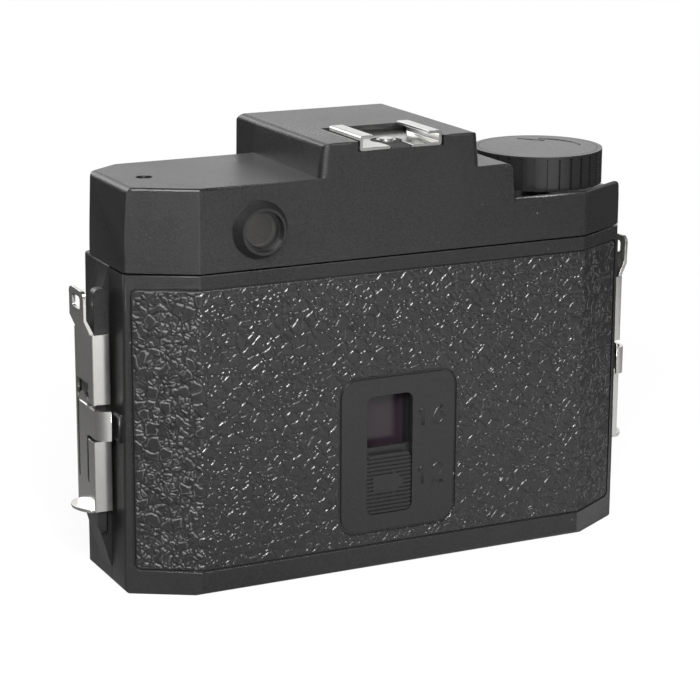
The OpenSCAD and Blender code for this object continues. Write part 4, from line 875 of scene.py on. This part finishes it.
@dataclass
class Mouldings:
    """The large plastic mouldings, with their edges softened where they show.

    Attributes:
        cover_edge, body_edge, sheet_edge: widths of the softened edges of the top cover, of the body and
            its back, and of bent sheet.
        deck_share, rail_share, panel_share: shares of these for the top cover, the side rails and the
            border of the grained panel.
        window_half, window_z: half the width and the heights round the window, which stays sharp.
        base_z, base_deep: height and depth up to which an edge belongs to the back's lower border.
        corner_x, corner_y: beyond them an edge belongs to the back's outer corner.
        panel_deep, facing_rear: depth and normal that tell the border of the grained panel.
        rail_x: beyond it an edge belongs to a side rail.
        front_x, front_y, base_front_y: beyond them an edge belongs to the body's front.
        deck_low_z, hump_low_z: lowest edges of the decks and of the hump.
        hump_cuts: where the hump's rear edge is split, its softened stretches end and the shoe begins.
        shoe_half, shoe_z, shoe_front_y: zone of the accessory shoe.
        deck_holes: X and radius of the zones round the screw's recess and the knob's hole.
        level, upright: normals' Z of faces taken as tops and as sides.
        outer_y, end_x: beyond them an edge of the top cover is an outer one.
    """

    cover_edge: float = 1.6
    body_edge: float = 0.7
    sheet_edge: float = 0.14
    deck_share: float = 0.4
    rail_share: float = 0.6
    panel_share: float = 0.35
    window_half: float = 18.0
    window_z: Span = (6.0, 50.0)
    base_z: float = 0.4
    base_deep: float = 3.0
    corner_x: float = 64.8
    corner_y: float = 6.0
    panel_deep: float = 0.5
    facing_rear: float = 0.3
    rail_x: float = 65.9
    front_x: float = 64.0
    front_y: float = -5.0
    base_front_y: float = -8.0
    deck_low_z: float = 84.0
    hump_low_z: float = 95.0
    hump_cuts: Tuple[float, ...] = (-17.8, -13.0, 13.0, 17.0)
    shoe_half: float = 13.0
    shoe_z: float = 98.5
    shoe_front_y: float = -2.5
    deck_holes: Tuple[Span, ...] = ((55.5, 3.0), (-47.0, 6.0))
    level: float = 0.9
    upright: float = 0.5
    outer_y: float = 9.0
    end_x: float = 60.0

    def back_share(self, middle: Vector, a: Vector, b: Vector) -> float:
        """Picks the outer edges of the back cover in full, the border of its grained panel a little.

        Args:
            middle: middle of the edge.
            a: normal of one face.
            b: normal of the other face.

        Returns:
            Share of the width, 0..1.
        """
        x = abs(middle.x)
        deep = BACK.rear - BACK.facet_slope * max(x - BACK.flat_half, 0) - middle.y
        if x < self.window_half and self.window_z[0] < middle.z < self.window_z[1]:
            return 0.0
        if middle.z < self.base_z and deep < self.base_deep:
            return 1.0
        if x > self.corner_x and middle.y > self.corner_y:
            return 1.0
        return self.panel_share if deep < self.panel_deep and max(a.y, b.y) > self.facing_rear else 0.0

    def body_share(self, middle: Vector, a: Vector, b: Vector) -> float:
        """Picks the outer lower and front edges of the body, and the edges of its side rails.

        Args:
            middle: middle of the edge.
            a: normal of one face, not used.
            b: normal of the other face, not used.

        Returns:
            Share of the width, 0..1.
        """
        x = abs(middle.x)
        if x > self.rail_x:
            return self.rail_share
        if x > self.front_x and middle.y < self.front_y:
            return 1.0
        low = middle.z < self.base_z
        return 1.0 if low and (middle.y < self.base_front_y or x > self.front_x) else 0.0

    def top_share(self, middle: Vector, a: Vector, b: Vector) -> float:
        """Picks the outer edges of the hump and the decks, not round corners, holes and recesses.

        Args:
            middle: middle of the edge.
            a: normal of one face.
            b: normal of the other face.

        Returns:
            Share of the width, 0..1.
        """
        x = abs(middle.x)
        if middle.z < self.deck_low_z:
            return 0.0
        if x < self.shoe_half and middle.z > self.shoe_z and middle.y > self.shoe_front_y:
            return 0.0
        if any(math.hypot(middle.x - hole_x, middle.y) < radius for hole_x, radius in self.deck_holes):
            return 0.0
        if middle.z > self.hump_low_z and not self.hump_cuts[0] < middle.x < self.hump_cuts[-1]:
            return 0.0
        tops = [normal for normal in (a, b) if abs(normal.z) > self.level]
        faces_out = max(a.z, b.z) > self.level and min(a.z, b.z) < self.upright
        outer = abs(middle.y) > self.outer_y or x > self.end_x
        return self.deck_share if faces_out and outer and len(tops) < 2 else 0.0

    def build(self) -> None:
        """Builds the rounded copies."""
        RoundedPart("top_cover", "camera_body", SATIN, self.cover_edge, self.top_share, segments=4,
                    cuts=self.hump_cuts).build()
        RoundedPart("back_cover", "back", SATIN, self.body_edge, self.back_share, shortest=1.5).build()
        RoundedPart("front_body", "camera_body", SATIN, self.body_edge, self.body_share, shortest=1.5).build()
        for node, body, finish in (("left_clip", "clip_left", CLIP), ("right_clip", "clip_right", CLIP),
                                   ("accessory_shoe", "camera_body", BRIGHT)):
            RoundedPart(node, body, finish, self.sheet_edge, segments=2, shortest=0.4).build()


# Leather grain


@dataclass
class GrainPanel:
    """Moulded leather grain over the back: a grid laid along the body's plan, raised by the relief.

    Attributes:
        half: half the width of the panel, side to side.
        low, high: heights of its lower and upper edge.
        corner: rounding of its corners.
        pitch: spacing of the grid.
        relief: height of the grain.
        bend_r: rounding of the bends in the plan.
        plate, plate_r: box and corner rounding of the window plate's opening.
        seed: number that picks the pattern.
        floor_depth: how far the border lies below the back's rear face.
        rise: how far the panel stands over its border.
        middle: share of the grain's height that lies level with the rise.
        outer_rise, opening_rise: distances from the outer border and the opening where the panel rises.
        outer_grain, opening_grain: the same for the grain.
        rim_in: the same for the painted highlight on the rims.
        flat_rim: share of the painted rim highlight on the flat part, against that on the facets.
        facet_blend: how far round a bend that share changes.
        margin, kept: how far the grid and its faces reach beyond the border.
        end_margin: how far the last stretch reaches beyond the panel along the plan.
        flats: number of stretches of the flat part.
        crease_degrees: angle between faces that is shaded as a crease.
    """

    half: float = 63.55
    low: float = 5.7
    high: float = 71.8
    corner: float = 1.6
    pitch: float = 0.14
    relief: float = 0.22
    bend_r: float = 1.4
    plate: Box = (-15.1, 9.1, 15.1, 46.7)
    plate_r: float = 4.3
    seed: float = 3.0
    floor_depth: float = 0.45
    rise: float = 0.41
    middle: float = 0.2
    outer_rise: Span = (0.0, 0.4)
    opening_rise: Span = (0.30, 0.34)
    outer_grain: Span = (0.2, 0.9)
    opening_grain: Span = (0.3, 0.7)
    rim_in: Span = (0.3, 0.9)
    flat_rim: float = 0.10
    facet_blend: float = 0.5
    margin: float = 0.3
    kept: float = 0.25
    end_margin: float = 0.4
    flats: int = 5
    crease_degrees: float = 50.0

    def plan(self, s: Array) -> Tuple[Array, Array, Array, Array]:
        """Follows the plan of the back.

        The plan runs straight along X, turns through the facet's angle on an arc, and runs straight
        down the facet.

        Args:
            s: distances along the plan from its middle.

        Returns:
            X and Y of the points, and X and Y of the outward normals.
        """
        turn = BACK.turn
        flat = BACK.flat_half - self.bend_r * math.tan(turn / 2)
        a = np.abs(s)
        angle = np.clip((a - flat) / self.bend_r, 0, turn)
        rest = np.maximum(a - flat - self.bend_r * turn, 0)
        x = np.minimum(a, flat) + self.bend_r * np.sin(angle) + rest * math.cos(turn)
        y = BACK.rear - self.bend_r * (1 - np.cos(angle)) - rest * math.sin(turn)
        return np.sign(s) * x, y, np.sign(s) * np.sin(angle), np.cos(angle)

    @staticmethod
    def inside(x: Array, z: Array, box: Box, r: float) -> Array:
        """Distance inside a rounded rectangle, negative outside.

        Args:
            x: places along X.
            z: heights.
            box: left, low, right and high side.
            r: rounding of the corners.

        Returns:
            The distances.
        """
        cx, cz = (box[0] + box[2]) / 2, (box[1] + box[3]) / 2
        qx = np.abs(x - cx) - (box[2] - box[0]) / 2 + r
        qz = np.abs(z - cz) - (box[3] - box[1]) / 2 + r
        out = np.hypot(np.maximum(qx, 0), np.maximum(qz, 0)) + np.minimum(np.maximum(qx, qz), 0) - r
        return -out

    def strip(self, name: str, s0: float, s1: float) -> bpy.types.Object:
        """One stretch of the panel as a mesh.

        Args:
            name: name of the piece.
            s0: where it starts along the plan.
            s1: where it ends.

        Returns:
            The new object.
        """
        pitch = self.pitch * 1.0
        s = np.linspace(s0, s1, max(int((s1 - s0) / pitch), 2))
        z = np.linspace(self.low - self.margin, self.high + self.margin, int((self.high - self.low) / pitch))
        s, z = np.meshgrid(s, z, indexing="ij")
        x, y, nx, ny = self.plan(s)
        outer = self.inside(x, z, (-self.half, self.low, self.half, self.high), self.corner)
        opening = -self.inside(x, z, self.plate, self.plate_r)
        border = np.minimum(outer, opening)
        grain, crown = Leather().relief(s, z, self.seed)
        rise = smooth_step(*self.outer_rise, outer) * smooth_step(*self.opening_rise, opening)
        fade = smooth_step(*self.outer_grain, outer) * smooth_step(*self.opening_grain, opening)
        height = rise * (self.rise + self.relief * (grain - self.middle) * fade) - self.floor_depth
        points = np.stack([x + nx * height, y + ny * height, z], -1).reshape(-1, 3)
        faces = grid_faces(*s.shape)
        faces = faces[border.reshape(-1)[faces].max(1) > -self.kept]
        used = np.unique(faces)
        renumber = np.zeros(len(points), int)
        renumber[used] = np.arange(len(used))
        faces = renumber[faces][:, ::-1] if self.faces_inward(points, faces) else renumber[faces]
        piece = new_mesh(name, points[used], faces)
        piece.data.set_sharp_from_angle(angle=math.radians(self.crease_degrees))
        facet = smooth_step(BACK.flat_half - self.facet_blend, BACK.flat_half + self.facet_blend, np.abs(s))
        # Share of the painted highlight on the rims' crowns, less on the flat part than on the facets.
        rim = crown * (self.flat_rim + (1 - self.flat_rim) * facet) * smooth_step(*self.rim_in, border)
        add_rim(piece, rim.reshape(-1)[used])
        return piece

    @staticmethod
    def faces_inward(points: Array, faces: Array) -> bool:
        """Whether the middle face of the list looks towards the inside of the camera."""
        p = points[faces[len(faces) // 2]]
        return float(np.cross(p[1] - p[0], p[2] - p[0])[1]) < 0

    def build(self) -> None:
        """Builds the panel in stretches, a facet at each end."""
        end = BACK.flat_half + (self.half - BACK.flat_half) / math.cos(BACK.turn) + self.end_margin
        cuts = [-end, *np.linspace(-BACK.flat_half, BACK.flat_half, self.flats + 1), end]
        pieces = [self.strip(f"grain_panel_{i + 1}", a, b) for i, (a, b) in enumerate(zip(cuts, cuts[1:]))]
        for piece in pieces:
            place(piece, "back", FACET_GRAIN if piece in (pieces[0], pieces[-1]) else GRAIN)
        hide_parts("back_grain_panel")


@dataclass
class FrontGrain:
    """Moulded grain over the two panels of the front.

    Attributes:
        face_y: the panels' front face.
        inner, outer, low, high: sides of the left panel.
        corner: rounding of its corners.
        inset: how far the grid stays inside the border.
        pitch: spacing of the grid.
        relief: height of the grain.
        seed: number that picks the pattern, the sign of X added.
        rise_in: distances from the border where the grain rises.
        sunk, rise: how far the border lies below the face, and the ground of the grain over the border.
        rim_share: share of the painted highlight on the rims.
    """

    face_y: float = -19.6
    inner: float = 32.5
    outer: float = 55.35
    low: float = 6.7
    high: float = 71.8
    corner: float = 1.0
    inset: float = 0.1
    pitch: float = 0.26
    relief: float = 0.2
    seed: float = 5.0
    rise_in: Span = (0.1, 0.7)
    sunk: float = 0.08
    rise: float = 0.10
    rim_share: float = 0.5

    def build(self) -> None:
        """Builds each panel as a grid whose border sinks into the panel below."""
        pitch = self.pitch * 1.0
        for side in Side:
            x = np.linspace(self.inner + self.inset, self.outer - self.inset,
                            int((self.outer - self.inner) / pitch))
            z = np.linspace(self.low + self.inset, self.high - self.inset,
                            int((self.high - self.low) / pitch))
            x, z = np.meshgrid(x, z, indexing="ij")
            border = GrainPanel.inside(x, z, (self.inner, self.low, self.outer, self.high), self.corner)
            grain, crown = Leather().relief(x, z, self.seed + side.value)
            rise = smooth_step(*self.rise_in, border)
            height = rise * (self.rise + self.relief * grain) - self.sunk
            points = np.stack([side.value * x, self.face_y - height, z], -1).reshape(-1, 3)
            faces = grid_faces(*x.shape)
            faces = faces if side is Side.LEFT else faces[:, ::-1]
            piece = new_mesh("front_grain_" + side.word, points, faces)
            # Share of the painted highlight on the rims' crowns.
            add_rim(piece, (self.rim_share * crown * rise).reshape(-1))
            place(piece, "camera_body", GRAIN)


# Marks


@dataclass
class WindowMarks:
    """Raised numerals beside the slot of the window plate, which is level with the back's middle.

    Attributes:
        upper_z, lower_z: heights of the two numbers' middles.
        left_x, spacing: X of the first numeral, and the step to the second.
        height, line, proud: height of the numerals, and width and height of their lines.
        bowl_share, bow_share: radii of the six's bowl and the two's bow, against the height.
    """

    upper_z: float = 35.8
    lower_z: float = 21.4
    left_x: float = -6.6
    spacing: float = 4.1
    height: float = 4.3
    line: float = 0.8
    proud: float = 0.16
    bowl_share: float = 0.30
    bow_share: float = 0.29

    def numeral_one(self) -> Array:
        """Outline of a one: a flag and an upright."""
        h = self.height / 2
        return np.array([[-1.0, h - 1.1], [0, h], [0, h * 0.3], [0, -h]])

    def numeral_six(self) -> Array:
        """Outline of a six: an arm that runs down into a closed bowl."""
        r = self.height * self.bowl_share
        bowl = arc(0, -self.height / 2 + r, r, 150, 510, 20)
        arm = np.array([[r * 0.75, self.height / 2], [-r * 0.3, self.height * 0.28]])
        return np.concatenate([arm, bowl])

    def numeral_two(self) -> Array:
        """Outline of a two: a bow, a slanted stroke and a foot."""
        r = self.height * self.bow_share
        bow = arc(0, self.height / 2 - r, r, 165, -30, 12)
        foot = np.array([[-r, -self.height / 2], [r, -self.height / 2]])
        return np.concatenate([bow, foot])

    def build(self) -> None:
        """Builds the numerals sixteen and twelve, read from the rear."""
        second_x = self.left_x - self.spacing
        marks = [("one_upper", self.numeral_one(), self.left_x, self.upper_z),
                 ("six", self.numeral_six(), second_x, self.upper_z),
                 ("one_lower", self.numeral_one(), self.left_x, self.lower_z),
                 ("two", self.numeral_two(), second_x, self.lower_z)]
        for name, line, x, z in marks:
            path = np.stack([x - line[:, 0], np.full(len(line), BACK.rear), z + line[:, 1]], 1)
            numeral = swept("numeral_" + name, path, np.array([0.0, 1.0, 0.0]), self.line, self.proud)
            place(numeral, "back", PLATE)


@dataclass
class KnobArrow:
    """Raised curved arrow on the winding knob: the way to turn it.

    Attributes:
        centre_x, top_z: the knob's axis and top.
        radius, start, end: arc of the shaft, angles in degrees.
        head: points (x, y) of the head's stroke and its short hook.
        line, proud: width and height of the lines.
    """

    centre_x: float = -47.0
    top_z: float = 94.3
    radius: float = 10.8
    start: float = 168.0
    end: float = 238.0
    head: Tuple[Span, ...] = ((-48.2, -11.8), (-52.4, -6.2), (-53.4, -7.5))
    line: float = 0.5
    proud: float = 0.12

    def build(self) -> None:
        """Builds the shaft and the head."""
        shaft = arc(self.centre_x, 0, self.radius, self.start, self.end, 24)
        for name, line in (("shaft", shaft), ("head", np.array(self.head))):
            path = np.column_stack([line, np.full(len(line), self.top_z)])
            stroke = swept("knob_arrow_" + name, path, np.array([0.0, 0.0, 1.0]), self.line, self.proud)
            place(stroke, "winding_train", KNOB)


@dataclass
class ClipRibs:
    """Two fine ribs stamped in the outer sheet of each clip.

    Attributes:
        sheet_x: the sheet's outer face.
        y: the two ribs' places.
        top_z, foot_z: where they run straight.
        dip, taper: how deep their ends dive into the sheet, and over what length.
        line, proud: width and height of a rib.
    """

    sheet_x: float = 70.3
    y: Span = (-3.7, -1.2)
    top_z: float = 55.0
    foot_z: float = 49.1
    dip: float = 0.12
    taper: float = 0.6
    line: float = 0.35
    proud: float = 0.05

    def build(self) -> None:
        """Builds the ribs of both sides."""
        z = np.array([self.top_z + self.taper, self.top_z, self.foot_z, self.foot_z - self.taper])
        for side in Side:
            x = side.value * (self.sheet_x - np.array([self.dip, 0.0, 0.0, self.dip]))
            for number, y in enumerate(self.y):
                path = np.column_stack([x, np.full(4, y), z])
                rib = swept(f"clip_rib_{side.word}_{number + 1}", path, np.array([side.value, 0.0, 0.0]),
                            self.line, self.proud)
                place(rib, "clip_" + side.word, CLIP)


# Studio


@dataclass(frozen=True)
class Viewpoint:
    """The photograph's camera: place in metres, turns in radians, focal length in pixels."""

    eye: Point = (0.245010, 0.488479, 0.193055)
    yaw: float = 0.458970
    pitch: float = 0.259085
    roll: float = 0.005223
    focal_px: float = 2357.078
    frame_px: float = 700.0
    sensor_mm: float = 36.0
    clip_m: Span = (0.01, 50.0)

    def build(self) -> None:
        """Places the scene's camera."""
        data = bpy.data.cameras.new("view")
        data.sensor_width = self.sensor_mm
        data.sensor_fit = "HORIZONTAL"
        data.lens = self.focal_px / self.frame_px * self.sensor_mm
        data.clip_start, data.clip_end = self.clip_m
        cam = bpy.data.objects.new("view", data)
        bpy.context.scene.collection.objects.link(cam)
        cy, sy, cp, sp = math.cos(self.yaw), math.sin(self.yaw), math.cos(self.pitch), math.sin(self.pitch)
        ahead = Vector((-sy * cp, -cy * cp, -sp))
        right = Vector((-cy, sy, 0.0))
        up = right.cross(ahead)
        cr, sr = math.cos(self.roll), math.sin(self.roll)
        right, up = right * cr + up * sr, up * cr - right * sr
        turn = Matrix((right, up, -ahead)).transposed()
        cam.matrix_world = Matrix.Translation(Vector(self.eye)) @ turn.to_4x4()
        bpy.context.scene.camera = cam


@dataclass(frozen=True)
class Lamp:
    """A rectangular soft lamp that looks at a point, all in metres."""

    name: str
    at: Point
    aim: Point
    size: Span
    watts: float

    def build(self) -> None:
        """Adds the lamp to the scene."""
        data = bpy.data.lights.new(self.name, "AREA")
        data.shape = "RECTANGLE"
        data.size, data.size_y = self.size
        data.energy = self.watts
        lamp = bpy.data.objects.new(self.name, data)
        bpy.context.scene.collection.objects.link(lamp)
        lamp.location = self.at
        lamp.rotation_euler = (Vector(self.aim) - Vector(self.at)).to_track_quat("-Z", "Y").to_euler()


BODY_MIDDLE: Point = (0.0, 0.0, 0.05)
LAMPS = (Lamp("front_floor_light", (-0.10, 0.60, 0.90), (-0.1, 0.45, 0.0), (0.7, 0.5), 5.6),
         Lamp("key", (0.40, 0.83, 0.60), BODY_MIDDLE, (0.70, 0.30), 24.0),
         Lamp("fill_behind", (0.40, -0.90, 0.60), BODY_MIDDLE, (0.6, 0.6), 3.0))


@dataclass(frozen=True)
class Surroundings:
    """White to the camera; as a light they are bright low on the far side and dim elsewhere.

    With the direction (x, y, z) the level is dim + far(y) * low(z) * right(x) + near(y) * low(z), each
    factor a smooth step, so tops reflect a white backdrop while the rounded edges stay dark.

    Attributes:
        dim_level, far_level, near_level: levels everywhere, on the far side and on the camera's side.
        left_share: share of the far level on the left.
        far_y, far_z, far_x: spans over which the far light fades.
        near_y, near_z: spans over which the near light comes and fades.
    """

    dim_level: float = 0.12
    far_level: float = 0.86
    near_level: float = 0.25
    left_share: float = 0.15
    far_y: Span = (-0.5, 0.1)
    far_z: Span = (0.34, 0.56)
    far_x: Span = (0.10, 0.45)
    near_y: Span = (-0.1, 0.5)
    near_z: Span = (0.30, 0.65)

    def build(self) -> None:
        """Sets the scene's world."""
        world = bpy.data.worlds.new("surroundings")
        bpy.context.scene.world = world
        world.use_nodes = True
        tree = world.node_tree
        x, y, z = parts_of(tree, tree.nodes.new("ShaderNodeTexCoord").outputs["Generated"])
        far = calculated(tree, "MULTIPLY", mapped(tree, y, self.far_y, (self.far_level, 0.0), smooth=True),
                         mapped(tree, z, self.far_z, (1.0, 0.0), smooth=True))
        far = calculated(tree, "MULTIPLY", far,
                         mapped(tree, x, self.far_x, (1.0, self.left_share), smooth=True))
        near = calculated(tree, "MULTIPLY", mapped(tree, y, self.near_y, (0.0, self.near_level), smooth=True),
                          mapped(tree, z, self.near_z, (1.0, 0.0), smooth=True))
        light = calculated(tree, "ADD", calculated(tree, "ADD", far, near), self.dim_level)
        path = tree.nodes.new("ShaderNodeLightPath").outputs
        seen = calculated(tree, "MAXIMUM", path["Is Camera Ray"], path["Is Transmission Ray"])
        background = tree.nodes["Background"].inputs
        background["Color"].default_value = (1, 1, 1, 1)
        feed(tree, background["Strength"], calculated(tree, "MAXIMUM", seen, light))


@dataclass(frozen=True)
class Floor:
    """Pale floor: white to the camera with a soft shadow, and darker to both sides in reflections.

    Lengths are metres. The share of plain white grows with the distance from the middle.

    Attributes:
        radius, sunk: radius of the disc and how far it lies below the base.
        rings, sectors: steps of its mesh.
        shown: shade that the camera sees where it isn't plain white.
        pale, dark: shades in reflections.
        lean, across: the shade goes from pale to dark where lean * x - y crosses this span.
        right_x, right_share: the shade fades to this share over this span on the right.
        white_near, white_span: share of plain white near the middle, and distances over which it grows.
        roughness, specular: the shader's own values.
    """

    radius: float = 6.0
    sunk: float = 0.00002
    rings: int = 24
    sectors: int = 96
    shown: float = 0.82
    pale: float = 0.42
    dark: float = 0.085
    lean: float = 3.0
    across: Span = (-0.42, 0.58)
    right_x: Span = (-0.30, -0.13)
    right_share: float = 0.2
    white_near: float = 0.88
    white_span: Span = (0.12, 0.34)
    roughness: float = 0.9
    specular: float = 0.1

    def material(self) -> bpy.types.Material:
        """Makes the floor's material: a matt shade blended with plain white for the camera alone.

        Returns:
            The material.
        """
        m = bpy.data.materials.new("pale_floor")
        m.use_nodes = True
        tree = m.node_tree
        shader = tree.nodes["Principled BSDF"]
        shader.inputs["Roughness"].default_value = self.roughness
        shader.inputs["Specular IOR Level"].default_value = self.specular
        spot = tree.nodes.new("ShaderNodeTexCoord").outputs["Object"]
        camera_ray = tree.nodes.new("ShaderNodeLightPath").outputs["Is Camera Ray"]
        x, y, _ = parts_of(tree, spot)
        slant = calculated(tree, "MULTIPLY_ADD", x, self.lean, calculated(tree, "MULTIPLY", y, -1.0))
        shade = calculated(tree, "MULTIPLY",
                           mapped(tree, slant, self.across, (self.pale, self.dark), smooth=True),
                           mapped(tree, x, self.right_x, (self.right_share, 1.0), smooth=True))
        feed(tree, shader.inputs["Base Color"], blended(tree, camera_ray, shade, (*[self.shown] * 3, 1)))
        white = tree.nodes.new("ShaderNodeEmission")
        white.inputs["Color"].default_value = (1, 1, 1, 1)
        away = tree.nodes.new("ShaderNodeVectorMath")
        away.operation = "LENGTH"
        feed(tree, away.inputs[0], spot)
        grown = mapped(tree, away.outputs["Value"], self.white_span, (self.white_near, 1.0))
        mix = tree.nodes.new("ShaderNodeMixShader")
        feed(tree, mix.inputs["Fac"], calculated(tree, "MULTIPLY", grown, camera_ray))
        feed(tree, mix.inputs[1], shader.outputs[0])
        feed(tree, mix.inputs[2], white.outputs[0])
        feed(tree, tree.nodes["Material Output"].inputs["Surface"], mix.outputs[0])
        return m

    def build(self) -> None:
        """Builds the disc, with rings that widen outwards."""
        r = np.linspace(0.0, 1.0, self.rings) ** 2 * self.radius + MICRON
        a = np.linspace(0, 2 * math.pi, self.sectors, endpoint=False)
        r, a = np.meshgrid(r, a, indexing="ij")
        points = np.stack([r * np.cos(a), r * np.sin(a), np.full(r.shape, -self.sunk)], -1) / MM
        piece = new_mesh("floor", points.reshape(-1, 3), grid_faces(self.rings, self.sectors, closed=True))
        piece.data.materials.append(self.material())


def main() -> None:
    """Builds the studio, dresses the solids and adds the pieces."""
    logging.basicConfig(level=logging.INFO, format="%(name)s %(message)s")
    for part in (Viewpoint(), Surroundings(), Floor(), *LAMPS):
        part.build()
    bpy.context.scene.view_settings.view_transform = "Standard"
    for node, finish in NODE_FINISHES.items():
        dress(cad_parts[node], finish)
    for part in (Mouldings(), GrainPanel(), WindowMarks(), KnobArrow(), ClipRibs(), FrontGrain()):
        part.build()


if __name__ == "__main__":
    main()
